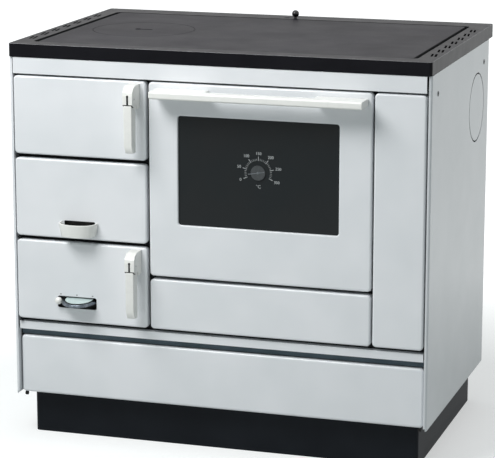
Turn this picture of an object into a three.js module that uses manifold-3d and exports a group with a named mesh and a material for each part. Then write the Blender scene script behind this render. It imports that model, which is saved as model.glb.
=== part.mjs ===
// Wood-burning range cooker: enamelled casing, black hob, three fuel-side doors, oven and fuel drawer.
// Millimetres, +Z up, front towards -Y. The model is laid out with x = 0 at the middle of the hob,
// y = 0 at the hob frame's front edge and z = 0 on the floor, and is centred over its box at the end.
import * as THREE from 'three';
import { mergeVertices } from 'three/addons/utils/BufferGeometryUtils.js';
import Module from 'manifold-3d';

const wasm = await Module();
wasm.setup();

// Driving dimensions: overall
const hobWidth = 900;
const hobDepth = 600;
const cookerHeight = 850;
const bodyInset = 0;
const backOverhang = 45;
const rimHeight = 28;

// Driving dimensions: fronts, from the hob frame downwards
const faceInset = 9.5;
const railHeight = 34.7;
const railGap = 4;
const stackGap = 8.5;
const trimHeight = 17.5;
const gripHeight = 15;
const drawerLift = 3;
const sootCoverGap = 7;

// Driving dimensions: gaps between the fronts, from left to right
const middleGap = 6;
const columnGap = 4;

// The parts in which the fronts share the height and the width that the rails and gaps leave them
const heightShares = { fireDoor: 165, grateDoor: 167, ashDoor: 172, drawer: 126, plinth: 92 };
const ovenSideShares = { ovenDoor: 407, sootCover: 107 };
const widthShares = { fuelDoor: 292.5, ovenDoor: 473, column: 105.5 };

// Driving dimensions: how far each plane lies behind the hob frame's front edge
const faceSetback = 1;
const hemSetback = 5;
const trimSetback = 9;
const drawerSetback = 14;
const plinthSetback = 46;

// Shared fits and sheets
const weld = 1e-4;
const seat = 0.3;
const overrun = 30;
const cornerRadius = 8;
const panDepth = 16;
const panSheet = 1.6;
const panelSheet = 1.5;
const linerSheet = 3;
const linerDepth = 3.7;
const sealThickness = 2.4;
const sealWidth = 9;
const hingeInset = 5;
const pinRadius = 2;
const pinClearance = 0.35;
const roundSides = 40;
const rodSides = 12;
const cornerSteps = 4;

// A length split in proportion to the shares given
function split(length, shares) {
  const whole = Object.values(shares).reduce((sum, share) => sum + share, 0);
  return Object.fromEntries(Object.entries(shares).map(([name, share]) => [name, (length * share) / whole]));
}

// Levels, from the hob frame downwards
const rimBottom = cookerHeight - rimHeight;
const railTop = rimBottom - seat;
const railBottom = railTop - railHeight;
const doorTop = railBottom - railGap;
const heights = split(doorTop - 3 * stackGap - trimHeight - gripHeight - drawerLift, heightShares);
const fireDoorBottom = doorTop - heights.fireDoor;
const grateDoorTop = fireDoorBottom - stackGap;
const grateDoorBottom = grateDoorTop - heights.grateDoor;
const ashDoorTop = grateDoorBottom - stackGap;
const ashDoorBottom = ashDoorTop - heights.ashDoor;
const trimTop = ashDoorBottom - stackGap;
const trimBottom = trimTop - trimHeight;
const drawerTop = trimBottom - gripHeight;
const drawerBottom = drawerTop - heights.drawer;
const bodyBottom = drawerBottom - drawerLift;
const ovenSideHeights = split(doorTop - ashDoorBottom - sootCoverGap, ovenSideShares);
const ovenDoorBottom = doorTop - ovenSideHeights.ovenDoor;
const sootCoverTop = ovenDoorBottom - sootCoverGap;

// Edges, from left to right, and how deep the layers of the fronts lie
const hobHalf = hobWidth / 2;
const bodyHalf = hobHalf - bodyInset;
const bodyInner = bodyHalf - panelSheet - seat;
const bodyBack = hobDepth - backOverhang;
const faceRight = bodyHalf - faceInset;
const faceLeft = -faceRight;
const widths = split(faceRight - faceLeft - middleGap - columnGap, widthShares);
const fuelDoorRight = faceLeft + widths.fuelDoor;
const ovenDoorLeft = fuelDoorRight + middleGap;
const ovenDoorRight = ovenDoorLeft + widths.ovenDoor;
const columnLeft = ovenDoorRight + columnGap;
const panBack = faceSetback + panDepth;
const linerFront = panBack + seat;
const linerBack = linerFront + linerDepth;
const sealFront = linerBack + seat;
const sealBack = sealFront + sealThickness;

// Finishes
const enamel = new THREE.MeshStandardMaterial({ color: 0xe4e6e8, roughness: 0.18, metalness: 0 });
const blackEnamel = new THREE.MeshStandardMaterial({ color: 0x17171b, roughness: 0.25, metalness: 0 });
const castIron = new THREE.MeshStandardMaterial({ color: 0x4a4a4e, roughness: 0.7, metalness: 0.6 });
const blackSteel = new THREE.MeshStandardMaterial({ color: 0x26282b, roughness: 0.6, metalness: 0.5 });
const zincSteel = new THREE.MeshStandardMaterial({ color: 0x9a9da0, roughness: 0.4, metalness: 0.9 });
const ivoryPlastic = new THREE.MeshStandardMaterial({ color: 0xe6e6da, roughness: 0.3, metalness: 0 });
const blackPlastic = new THREE.MeshStandardMaterial({ color: 0x101012, roughness: 0.35, metalness: 0 });
const darkGlass = new THREE.MeshStandardMaterial({ color: 0x24282a, roughness: 0.05, metalness: 0 });
const clearGlass = new THREE.MeshStandardMaterial({ color: 0x9fb0ae, roughness: 0.05, metalness: 0 });
const fireclay = new THREE.MeshStandardMaterial({ color: 0xb59a74, roughness: 0.95, metalness: 0 });
const sealRope = new THREE.MeshStandardMaterial({ color: 0x6b6a66, roughness: 0.95, metalness: 0 });
const rubber = new THREE.MeshStandardMaterial({ color: 0x141414, roughness: 0.8, metalness: 0 });

// Solids
function solidOf(source) {
  const bare = source.clone();
  bare.deleteAttribute('normal');
  bare.deleteAttribute('uv');
  const merged = mergeVertices(bare, weld);
  const corners = merged.index.array;
  const kept = [];
  for (let i = 0; i < corners.length; i += 3) {
    const [a, b, c] = [corners[i], corners[i + 1], corners[i + 2]];
    if (a !== b && b !== c && c !== a) kept.push(a, b, c);
  }
  const vertProperties = new Float32Array(merged.attributes.position.array);
  const triVerts = new Uint32Array(kept);
  return new wasm.Manifold(new wasm.Mesh({ numProp: 3, vertProperties, triVerts }));
}

function join(first, ...rest) {
  return rest.reduce((whole, piece) => whole.add(piece), first);
}

function cut(first, ...tools) {
  return tools.reduce((whole, tool) => whole.subtract(tool), first);
}

function middle([low, high]) {
  return (low + high) / 2;
}

// The stretch of a given width about its middle
function about(centre, width) {
  return [centre - width / 2, centre + width / 2];
}

function grown([low, high], by) {
  return [low - by, high + by];
}

// A stretch measured from the middle of the cooker towards its left (-1) or right (1) side
function across(side, near, far) {
  return [side * near, side * far].sort((a, b) => a - b);
}

function box(x, y, z) {
  const shape = new THREE.BoxGeometry(x[1] - x[0], y[1] - y[0], z[1] - z[0]);
  return solidOf(shape.translate(middle(x), middle(y), middle(z)));
}

function outline(points) {
  return new THREE.Shape(points.map(([a, b]) => new THREE.Vector2(a, b)));
}

function arcPoints([a, b], radius, fromDegrees, toDegrees, steps = cornerSteps) {
  const points = [];
  for (let i = 0; i <= steps; i += 1) {
    const angle = THREE.MathUtils.degToRad(fromDegrees + ((toDegrees - fromDegrees) * i) / steps);
    points.push([a + radius * Math.cos(angle), b + radius * Math.sin(angle)]);
  }
  return points;
}

function roundedOutline([a0, a1], [b0, b1], radius) {
  return outline([
    ...arcPoints([a1 - radius, b0 + radius], radius, -90, 0),
    ...arcPoints([a1 - radius, b1 - radius], radius, 0, 90),
    ...arcPoints([a0 + radius, b1 - radius], radius, 90, 180),
    ...arcPoints([a0 + radius, b0 + radius], radius, 180, 270),
  ]);
}

function slotOutline([centreX, centreY], length, width, degrees) {
  const angle = THREE.MathUtils.degToRad(degrees);
  const half = (length - width) / 2;
  const [stepX, stepY] = [half * Math.cos(angle), half * Math.sin(angle)];
  return outline([
    ...arcPoints([centreX + stepX, centreY + stepY], width / 2, degrees - 90, degrees + 90),
    ...arcPoints([centreX - stepX, centreY - stepY], width / 2, degrees + 90, degrees + 270),
  ]);
}

// A shape drawn across the plane named, pushed along the third axis between two places
const planes = {
  xy: [[1, 0, 0], [0, 1, 0], [0, 0, 1]],
  yz: [[0, 1, 0], [0, 0, 1], [1, 0, 0]],
  zx: [[0, 0, 1], [1, 0, 0], [0, 1, 0]],
};

function prism(plane, shape, [low, high]) {
  const body = new THREE.ExtrudeGeometry(shape, { depth: high - low, bevelEnabled: false, steps: 1 });
  const [first, second, along] = planes[plane].map((axis) => new THREE.Vector3(...axis));
  body.translate(0, 0, low);
  return solidOf(body.applyMatrix4(new THREE.Matrix4().makeBasis(first, second, along)));
}

// A front seen from -Y: rounded rectangle in x and z, with its depth along y
function front(x, z, y, radius) {
  return prism('zx', roundedOutline(z, x, radius), y);
}

function plan(x, y, z, radius) {
  return prism('xy', roundedOutline(x, y, radius), z);
}

// A round bar along the axis named, through the two other coordinates of its centre
function rod(axis, centre, radius, ends, sides = rodSides) {
  const bar = new THREE.CylinderGeometry(radius, radius, ends[1] - ends[0], sides);
  if (axis === 'x') bar.rotateZ(-Math.PI / 2).translate(middle(ends), centre[0], centre[1]);
  if (axis === 'y') bar.translate(centre[0], middle(ends), centre[1]);
  if (axis === 'z') bar.rotateX(Math.PI / 2).translate(centre[0], centre[1], middle(ends));
  return solidOf(bar);
}

// Scene graph: each moving body is a group that stands at its pivot
const cooker = new THREE.Group();
cooker.userData.pivot = new THREE.Vector3();

function carrier(parent, name, x, y, z) {
  const group = new THREE.Group();
  group.name = name;
  group.userData.pivot = new THREE.Vector3(x, y, z);
  group.position.copy(group.userData.pivot).sub(parent.userData.pivot);
  parent.add(group);
  return group;
}

function add(group, name, solid, material) {
  const { vertProperties, triVerts } = solid.getMesh();
  const geometry = new THREE.BufferGeometry();
  geometry.setAttribute('position', new THREE.BufferAttribute(vertProperties, 3));
  geometry.setIndex(new THREE.BufferAttribute(triVerts, 1));
  const { x, y, z } = group.userData.pivot;
  geometry.translate(-x, -y, -z);
  geometry.computeVertexNormals();
  const mesh = new THREE.Mesh(geometry, material);
  mesh.name = name;
  group.add(mesh);
}

// Hob frame: folded steel, a top sheet with a skirt, and a ledge that carries the cast hob plate
const frameSheet = 3;
const frameRadius = 7;
const plateSide = 39;
const plateFront = 40;
const plateRear = 60;
const plateRadius = 11;
const plateGap = 3;
const plateSideGap = 10;
const wellSheet = 2;
const plateThickness = 9.6;
const plateDrop = 0.4;
const ledgeRest = 6;
const ledgeSheet = 3;
const opening = {
  x: [-hobHalf + plateSide, hobHalf - plateSide],
  y: [plateFront, hobDepth - plateRear],
};
const plateTop = cookerHeight - plateDrop;
const plateBottom = plateTop - plateThickness;
const sheetBottom = cookerHeight - frameSheet;
const ledgeTop = plateBottom - seat;
const ledgeBottom = ledgeTop - ledgeSheet;

// Vents in the side strips of the frame, in slanted pairs, and the slot for the damper rod
const ventPairs = 7;
const ventPitch = 62;
const ventFirst = 95;
const ventInset = 18;
const ventLength = 38;
const ventWidth = 4.6;
const ventSpread = 8;
const ventSlant = 98;
const damperShift = 7.5;
const damperRear = 40;
const damperTravel = 23;
const damperSlotWidth = 7;
const damperFoot = [damperShift, hobDepth - damperRear];
const damperMiddle = [damperShift - damperTravel / 2, hobDepth - damperRear];

function hobFrame() {
  const x = [-hobHalf, hobHalf];
  const y = [0, hobDepth];
  const under = rimBottom - overrun;
  const above = cookerHeight + overrun;
  const throughSheet = [sheetBottom - frameSheet, above];
  const shell = cut(
    plan(x, y, [rimBottom, cookerHeight], frameRadius),
    plan(grown(x, -frameSheet), grown(y, -frameSheet), [under, sheetBottom], frameRadius - frameSheet),
  );
  const wall = plan(
    grown(opening.x, wellSheet), grown(opening.y, wellSheet), [ledgeBottom, cookerHeight],
    plateRadius + wellSheet,
  );
  const well = plan(opening.x, opening.y, [ledgeTop, above], plateRadius);
  const hole = plan(
    grown(opening.x, -plateSideGap - ledgeRest), grown(opening.y, -plateGap - ledgeRest),
    [under, above], plateRadius,
  );
  const vents = [];
  for (const side of [-1, 1]) {
    for (let i = 0; i < ventPairs; i += 1) {
      for (const half of [-ventSpread / 2, ventSpread / 2]) {
        const centre = [side * (hobHalf - ventInset) + half, ventFirst + i * ventPitch];
        vents.push(prism('xy', slotOutline(centre, ventLength, ventWidth, ventSlant), throughSheet));
      }
    }
  }
  const damperLength = damperTravel + damperSlotWidth;
  const damperSlot = prism('xy', slotOutline(damperMiddle, damperLength, damperSlotWidth, 0), throughSheet);
  return cut(join(shell, wall), well, hole, damperSlot, ...vents);
}
add(cooker, 'hob_frame', hobFrame(), blackEnamel);

// Hob plate and its round lid over the fire
const lidInset = 157;
const lidSetback = 246;
const lidRadius = 110;
const lidThickness = 6;
const lidLedge = 8;
const lidGap = 0.7;
const lifterLength = 40;
const lifterHeadRadius = 7.5;
const lifterWidth = 7;
const lifterDepth = 4;
const lidPlace = [opening.x[0] + lidInset, opening.y[0] + lidSetback];
const lidBottom = plateTop - lidThickness;

function hobPlate() {
  const plate = plan(
    grown(opening.x, -plateSideGap), grown(opening.y, -plateGap), [plateBottom, plateTop],
    plateRadius - plateGap,
  );
  const through = grown([plateBottom, plateTop], overrun);
  return cut(
    plate,
    rod('z', lidPlace, lidRadius + lidGap, [lidBottom - seat, through[1]], roundSides),
    rod('z', lidPlace, lidRadius - lidLedge, through, roundSides),
  );
}
add(cooker, 'hob_plate', hobPlate(), castIron);

const hobLid = carrier(cooker, 'hob_lid_lift', ...lidPlace, lidBottom);

function lid() {
  const depth = [plateTop - lifterDepth, plateTop + overrun];
  const headPlace = [lidPlace[0] - lifterLength / 2 + lifterHeadRadius, lidPlace[1]];
  return cut(
    rod('z', lidPlace, lidRadius, [lidBottom, plateTop], roundSides),
    prism('xy', slotOutline(lidPlace, lifterLength, lifterWidth, 0), depth),
    rod('z', headPlace, lifterHeadRadius, depth),
  );
}
add(hobLid, 'hob_lid', lid(), castIron);

// Damper: a knob on a rod that slides in the rear strip and carries a plate over the bypass port
const knobRadius = 8;
const knobHeight = 10;
const knobNeckRadius = 3.2;
const damperRodRadius = 1.8;
const damperPlateLength = 60;
const damperPlateWidth = 24;
const damperSheet = 2;
const damperDrop = 14;
const guideSheet = 2;
const guideSide = 0.6;
const guideLength = 120;
const portRadius = 9;
const damper = carrier(cooker, 'damper_slide', ...damperFoot, cookerHeight);

function damperKnob() {
  const centre = cookerHeight + knobHeight;
  const foot = cookerHeight + seat;
  const ball = new THREE.SphereGeometry(knobRadius, rodSides * 2, rodSides);
  ball.rotateX(Math.PI / 2).translate(...damperFoot, centre);
  return cut(
    join(solidOf(ball), rod('z', damperFoot, knobNeckRadius, [foot, centre])),
    rod('z', damperFoot, damperRodRadius + seat, [foot - overrun, centre]),
  );
}
add(damper, 'damper_knob', damperKnob(), blackPlastic);

function damperSlide() {
  const plateHigh = cookerHeight - damperDrop;
  const [x, y] = [about(damperFoot[0], damperPlateLength), about(damperFoot[1], damperPlateWidth)];
  return join(
    rod('z', damperFoot, damperRodRadius, [plateHigh - damperSheet / 2, cookerHeight + knobHeight - seat]),
    box(x, y, [plateHigh - damperSheet, plateHigh]),
  );
}
add(damper, 'damper_slide', damperSlide(), zincSteel);

function damperGuide() {
  const floor = cookerHeight - damperDrop - damperSheet - seat;
  const ceiling = sheetBottom - seat;
  const inside = about(damperFoot[1], damperPlateWidth + 2 * guideSide);
  const x = about(damperMiddle[0], guideLength);
  return cut(
    box(x, grown(inside, guideSheet), [floor - guideSheet, ceiling]),
    box(grown(x, overrun), inside, [floor, ceiling + overrun]),
    rod('z', damperMiddle, portRadius, [floor - overrun, ceiling], roundSides / 2),
  );
}
add(cooker, 'damper_guide', damperGuide(), blackSteel);

// Front frame: where it lies, and the chamber openings in it
const frameThickness = 2;
const frameFoot = 2;
const frameFront = sealBack + seat;
const frameBack = frameFront + frameThickness;
const depthOfFrame = grown([frameFront, frameBack], overrun);
const chamberFront = frameBack + seat;
const openingLeft = 42.5;
const openingRight = 48;
const openingBelow = 22;
const openingAbove = 21;
const ovenSide = 45.5;
const ovenBelow = 32;
const ovenAbove = 53;
const sootMargin = 24;
const openingRadius = 4;
const fuelOpeningX = [faceLeft + openingLeft, fuelDoorRight - openingRight];
const ovenOpeningX = [ovenDoorLeft + ovenSide, ovenDoorRight - ovenSide];
const fireOpening = { x: fuelOpeningX, z: [fireDoorBottom + openingBelow, doorTop - openingAbove] };
const grateOpening = { x: fuelOpeningX, z: [grateDoorBottom + openingBelow, grateDoorTop - openingAbove] };
const ashOpening = { x: fuelOpeningX, z: [ashDoorBottom + openingBelow, ashDoorTop - openingAbove] };
const ovenOpening = { x: ovenOpeningX, z: [ovenDoorBottom + ovenBelow, doorTop - ovenAbove] };
const sootOpening = { x: ovenOpeningX, z: [ashDoorBottom + sootMargin, sootCoverTop - sootMargin] };

// Side panels: enamelled sheet, folded over at the front and returned to the front frame
const hemWidth = 6.5;
const hemRelief = 5;
const hemReliefSide = 3;
const backFlange = 9;
const topFlange = 13.5;
const outletRadius = 75;
const outletRear = 118;
const outletDrop = 131.7;
const outletGap = 0.6;
const outletPlace = [bodyBack - outletRear, railTop - outletDrop];

function sidePanel(side) {
  const z = [bodyBottom, railTop];
  const inner = bodyHalf - hemWidth;
  const bend = hemWidth - panelSheet;
  const centre = [bodyHalf - bend, hemSetback + bend];
  const sheet = outline([
    [inner, hemSetback],
    ...arcPoints(centre, bend, -90, 0),
    [bodyHalf, bodyBack],
    [bodyHalf - panelSheet, bodyBack],
    ...arcPoints(centre, bend - panelSheet, 0, -90),
    [inner + panelSheet, hemSetback + panelSheet],
    [inner + panelSheet, sealBack],
    [inner, sealBack],
  ].map(([x, y]) => [side * x, y]));
  const folded = join(
    prism('xy', sheet, z),
    box(across(side, bodyHalf - backFlange, bodyHalf), [bodyBack - panelSheet, bodyBack], z),
    box(
      across(side, bodyHalf - topFlange, bodyHalf), [chamberFront, bodyBack],
      [railTop - panelSheet, railTop],
    ),
  );
  const relief = box(
    across(side, inner - overrun, bodyHalf - hemReliefSide), [hemSetback - overrun, sealBack + seat],
    [bodyBottom - overrun, bodyBottom + hemRelief],
  );
  return cut(folded, relief);
}
add(cooker, 'side_panel_left', sidePanel(-1), enamel);

// The right panel has a flue outlet and two screws in pressed dimples
const screwFront = 59;
const screwRear = 49;
const screwDrop = 42.7;
const screwHeadRadius = 5.5;
const screwHead = 1;
const screwRadius = 2;
const screwLength = 7;
const dimpleRadius = 8;
const dimpleDepth = 1;
const screwPlaces = {
  front: [screwFront, railTop - screwDrop],
  rear: [bodyBack - screwRear, railTop - screwDrop],
};

function rightPanel() {
  const outside = bodyHalf + overrun;
  const through = [bodyHalf - overrun, outside];
  const sheetInside = bodyHalf - panelSheet;
  let panel = cut(sidePanel(1), rod('x', outletPlace, outletRadius, through, roundSides));
  for (const place of Object.values(screwPlaces)) {
    const dimple = [sheetInside - dimpleDepth, bodyHalf - screwHead / 2];
    panel = cut(
      join(panel, rod('x', place, dimpleRadius, dimple, rodSides * 2)),
      rod('x', place, screwHeadRadius + seat, [bodyHalf - screwHead - seat, outside], rodSides * 2),
      rod('x', place, screwRadius + pinClearance, through),
    );
  }
  return panel;
}
add(cooker, 'side_panel_right', rightPanel(), enamel);

function sideScrew(place) {
  return join(
    rod('x', place, screwHeadRadius, [bodyHalf - screwHead, bodyHalf], rodSides * 2),
    rod('x', place, screwRadius, [bodyHalf - screwHead - screwLength, bodyHalf - screwHead / 2]),
  );
}
add(cooker, 'side_screw_front', sideScrew(screwPlaces.front), zincSteel);
add(cooker, 'side_screw_rear', sideScrew(screwPlaces.rear), zincSteel);

// Cap over the side flue outlet: a disc in the panel's hole with a rim behind the sheet
const capRim = 8;
const capRimSheet = 1.3;
const capBack = bodyInner - capRimSheet;

function flueCap() {
  return join(
    rod('x', outletPlace, outletRadius - outletGap, [capBack, bodyHalf], roundSides),
    rod('x', outletPlace, outletRadius + capRim, [capBack, bodyInner], roundSides),
  );
}
add(cooker, 'side_flue_cap', flueCap(), enamel);

// Base: the dark plinth, the base plate on it and the two rails that the drawer slides on
const plinthInset = 26;
const plinthRear = 10;
const plinthSheet = 2;
const plinthFoot = 25;
const baseSheet = 3;
const drawerBoxInset = 30.5;
const drawerBoxRise = 7;
const drawerBoxDrop = 10;
const drawerRear = 35;
const drawerSheet = 1.5;
const railWidth = 8;
const railInset = 4;
const railStart = 14;
const baseTop = bodyBottom + baseSheet;
const drawerBoxHalf = faceRight - drawerBoxInset;
const drawerFloor = drawerBottom + drawerBoxRise;
const drawerBack = bodyBack - drawerRear;

function plinth() {
  const half = bodyHalf - plinthInset;
  const x = [-half, half];
  const y = [plinthSetback, bodyBack - plinthRear];
  const z = [0, bodyBottom - seat];
  const foot = plinthSheet + plinthFoot;
  return cut(
    plan(x, y, z, cornerRadius),
    plan(
      grown(x, -plinthSheet), grown(y, -plinthSheet), [plinthSheet, z[1] + overrun],
      cornerRadius - plinthSheet,
    ),
    box(grown(x, -foot), grown(y, -foot), [-overrun, z[1]]),
  );
}
add(cooker, 'plinth', plinth(), blackEnamel);

const backSheet = 1.5;
const backPanelBack = bodyBack - panelSheet - seat;
const backPanelFront = backPanelBack - backSheet;

function basePlate() {
  const treadFar = drawerBoxHalf - railInset;
  const rails = [-1, 1].map((side) => box(
    across(side, treadFar - railWidth, treadFar), [plinthSetback + railStart, drawerBack],
    [bodyBottom, drawerFloor - seat],
  ));
  const y = [plinthSetback + plinthSheet, backPanelBack];
  return join(box([-bodyInner, bodyInner], y, [bodyBottom, baseTop]), ...rails);
}
add(cooker, 'base_plate', basePlate(), blackSteel);

// Back panel, flue collar and the flue box between the collar and the side outlet
const collarInset = 76;
const collarRadius = 65;
const collarSheet = 1.5;
const collarFlange = 5;
const collarTail = 5;
const collarEndGap = 4;
const flueMargin = 10;
const flueSide = 2;
const collarPlace = [bodyHalf - collarInset, outletPlace[1]];

function backPanel() {
  const z = [baseTop + seat, railTop - panelSheet - seat];
  return cut(
    box([-bodyInner, bodyInner], [backPanelFront, backPanelBack], z),
    rod('y', collarPlace, collarRadius + seat, grown([backPanelFront, backPanelBack], overrun), roundSides),
  );
}
add(cooker, 'back_panel', backPanel(), blackSteel);

function flueCollar() {
  const flangeFront = backPanelBack + seat;
  const ends = [backPanelFront - collarTail, hobDepth - collarEndGap];
  const flange = rod(
    'y', collarPlace, collarRadius + collarFlange, [flangeFront, flangeFront + collarSheet], roundSides,
  );
  const besideFlange = box(
    [bodyHalf - backFlange - seat, bodyHalf + overrun], grown(ends, overrun),
    about(collarPlace[1], 2 * collarRadius),
  );
  return cut(
    join(rod('y', collarPlace, collarRadius, ends, roundSides), flange),
    rod('y', collarPlace, collarRadius - collarSheet, grown(ends, overrun), roundSides),
    besideFlange,
  );
}
add(cooker, 'flue_collar', flueCollar(), blackSteel);

function flueBox() {
  const reach = outletRadius + flueMargin;
  const right = capBack - seat;
  const x = [collarPlace[0] - collarRadius - flueSide, right];
  const y = [outletPlace[0] - reach, backPanelFront - seat];
  const z = about(outletPlace[1], 2 * reach);
  const inside = box(grown(x, -backSheet), [y[0] - overrun, y[1] - backSheet], grown(z, -backSheet));
  return cut(
    box(x, y, z), inside,
    rod('x', outletPlace, outletRadius - backSheet, grown([right, right], overrun), roundSides),
    rod('y', collarPlace, collarRadius + seat, grown([y[1], y[1]], overrun), roundSides),
  );
}
add(cooker, 'flue_box', flueBox(), blackSteel);

// Lever handles: pin places and travel, shared by the fire door and the ash door
const leverInset = 23;
const leverPinDrop = 32;
const leverPinStand = 32;
const leverTurn = 22;
const armThickness = 3;
const armHeight = 6;
const armPast = 5;
const armSide = 0.9;
const catchSide = 2.4;
const catchMargin = 3;
const noseRise = 4;
const noseLength = 5;
const leverX = fuelDoorRight - leverInset;
const leverPinY = faceSetback - leverPinStand;
const armReach = frameBack - leverPinY + armPast;
const armSlope = Math.tan(THREE.MathUtils.degToRad(leverTurn));
const firePinZ = doorTop - leverPinDrop;
const ashPinZ = ashDoorTop - leverPinDrop;

function catchSlot(pinZ) {
  const low = pinZ - armReach * armSlope - armHeight / 2 - catchMargin;
  const high = pinZ + armHeight / 2 + noseRise + catchMargin;
  return box(about(leverX, armThickness + 2 * catchSide), depthOfFrame, [low, high]);
}

// Room for the arm through a sheet that lies at the depths given
function armSlot(pinZ, depths) {
  const low = pinZ - (depths[1] - leverPinY) * armSlope - armHeight;
  const high = pinZ + armHeight / 2 + armSide;
  return box(about(leverX, armThickness + 2 * armSide), grown(depths, seat), [low, high]);
}

function frontFrame() {
  const sheet = box(
    [-bodyInner, bodyInner], [frameFront, frameBack],
    [drawerTop + frameFoot, railTop - panelSheet - seat],
  );
  const holes = [fireOpening, grateOpening, ashOpening, ovenOpening, sootOpening].map(
    ({ x, z }) => front(x, z, depthOfFrame, openingRadius),
  );
  return cut(sheet, ...holes, catchSlot(firePinZ), catchSlot(ashPinZ));
}
add(cooker, 'front_frame', frontFrame(), blackSteel);

// Fixed fronts: top rail, trim rail over the drawer, right column and soot cover
function channel([front0, back0], [low, high]) {
  const x = [faceLeft, faceRight];
  return cut(
    box(x, [front0, back0], [low, high]),
    box(grown(x, overrun), [front0 + panelSheet, back0 + overrun], [low + panelSheet, high - panelSheet]),
  );
}

// The trim rail runs on down behind the gap over the drawer
function trimRail() {
  const web = box(
    [faceLeft, faceRight], [sealBack - panelSheet, sealBack],
    [drawerTop + frameFoot, trimBottom + panelSheet],
  );
  return join(channel([trimSetback, sealBack], [trimBottom, trimTop]), web);
}

function pan(x, z, [front0, back0]) {
  return cut(
    front(x, z, [front0, back0], cornerRadius),
    front(
      grown(x, -panSheet), grown(z, -panSheet), [front0 + panSheet, back0 + overrun],
      cornerRadius - panSheet,
    ),
  );
}
const fixedDepth = [faceSetback, sealBack];
const columnX = [columnLeft, faceRight];
const sootCoverX = [ovenDoorLeft, ovenDoorRight];
add(cooker, 'top_rail', channel(fixedDepth, [railBottom, railTop]), enamel);
add(cooker, 'trim_rail', trimRail(), enamel);
add(cooker, 'column_panel', pan(columnX, [ashDoorBottom, doorTop], fixedDepth), enamel);
add(cooker, 'soot_cover', pan(sootCoverX, [ashDoorBottom, sootCoverTop], fixedDepth), enamel);

// Hinge post: one bar behind the doors' left edge, with a lug and pins in each gap between doors
const postLeft = 5.5;
const postRight = 4.5;
const postGap = 2;
const lugThickness = 3;
const lugHalf = 3;
const pinLength = 8;
const hingeX = faceLeft + hingeInset;
const hingeY = faceSetback + hingeInset;

function hingePost() {
  const x = [hingeX - postLeft, hingeX + postRight];
  const y = [panBack + postGap, sealBack];
  const gaps = [
    { low: doorTop, high: railBottom, down: true },
    { low: grateDoorTop, high: fireDoorBottom, up: true, down: true },
    { low: ashDoorTop, high: grateDoorBottom, up: true, down: true },
    { low: trimTop, high: ashDoorBottom, up: true },
  ];
  const pieces = gaps.map(({ low, high, up, down }) => {
    const level = (low + high) / 2;
    const lug = box(about(hingeX, 2 * lugHalf), [hingeY - lugHalf, sealBack], about(level, lugThickness));
    const pin = rod('z', [hingeX, hingeY], pinRadius, [
      down ? low - pinLength : level,
      up ? high + pinLength : level,
    ]);
    return join(lug, pin);
  });
  const top = (doorTop + railBottom + lugThickness) / 2;
  const bottom = (trimTop + ashDoorBottom - lugThickness) / 2;
  return join(box(x, y, [bottom, top]), ...pieces);
}
add(cooker, 'door_hinge_post', hingePost(), blackSteel);

// Fuel-side doors: enamelled pan, cast liner with a raised boss, and a rope seal round the opening
const linerMargin = 0.8;
const linerHingeMargin = 12;
const bossMargin = 12;
const sealMargin = 3;

function hingedPan(z) {
  const pinBore = rod('z', [hingeX, hingeY], pinRadius + pinClearance, grown(z, overrun));
  return cut(pan([faceLeft, fuelDoorRight], z, [faceSetback, panBack]), pinBore);
}

function linerOf(z, chamber) {
  const x = [faceLeft + linerHingeMargin, fuelDoorRight - linerMargin];
  return join(
    front(x, grown(z, -linerMargin), [linerFront, linerFront + linerSheet], cornerRadius),
    front(grown(chamber.x, bossMargin), grown(chamber.z, bossMargin), [linerFront, linerBack], cornerRadius),
  );
}

function sealOf(chamber) {
  const outer = sealMargin + sealWidth;
  return cut(
    front(grown(chamber.x, outer), grown(chamber.z, outer), [sealFront, sealBack], outer),
    front(grown(chamber.x, sealMargin), grown(chamber.z, sealMargin), depthOfFrame, openingRadius),
  );
}

const panSkin = [faceSetback, faceSetback + panSheet];
const linerSpan = [linerFront, linerBack];
const fireDoorZ = [fireDoorBottom, doorTop];
const fireDoor = carrier(cooker, 'fire_door_hinge', hingeX, hingeY, fireDoorBottom);
add(fireDoor, 'fire_door_panel', cut(hingedPan(fireDoorZ), armSlot(firePinZ, panSkin)), enamel);
const fireLiner = cut(linerOf(fireDoorZ, fireOpening), armSlot(firePinZ, linerSpan));
add(fireDoor, 'fire_door_liner', fireLiner, castIron);
add(fireDoor, 'fire_door_seal', sealOf(fireOpening), sealRope);

// Lever handle: a head fixed to the door, a steel arm on a cross pin, and a grip over the arm's neck
const headWidth = 21;
const headBase = 22;
const headNose = 13;
const headRadius = 16.5;
const headStep = 16.5;
const headCrownShares = [[1, 0.875], [0.3, 0.86], [0, 0.8], [-0.22, 0.66], [-0.36, 0.47], [-0.406, 0.24]];
const leverGap = 1;
const gripRadius = headRadius + leverGap;
const gripWidth = 18;
const gripThickness = 24;
const gripLength = 112;
const gripToe = 9;
const gripToeRise = 16;
const hubRadius = 6.5;
const neckThickness = 6;
const neckLength = 50;
const slotSide = 0.5;

function leverSide(points, pinZ) {
  return outline(points.map(([y, z]) => [leverPinY + y, pinZ + z]));
}

function degreesAt(reach, radius) {
  return THREE.MathUtils.radToDeg(Math.acos(reach / radius));
}

function leverHead(pinZ) {
  const back = leverPinStand - seat;
  const body = leverSide([
    ...headCrownShares.map(([y, z]) => [leverPinStand * y, leverPinStand * z]).slice(1),
    ...arcPoints([0, 0], headRadius, -degreesAt(-headNose, headRadius), -45, 2 * cornerSteps),
    [headStep, -headBase],
    [back, -headBase],
    [back, leverPinStand * headCrownShares[0][1]],
  ], pinZ);
  const x = about(leverX, headWidth);
  const armRoom = box(
    about(leverX, armThickness + 2 * slotSide), [leverPinY - overrun, faceSetback + overrun],
    [pinZ - overrun, pinZ + hubRadius + slotSide],
  );
  const pinBore = rod('x', [leverPinY, pinZ], pinRadius + pinClearance, grown(x, overrun));
  return cut(prism('yz', body, x), armRoom, pinBore);
}

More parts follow.
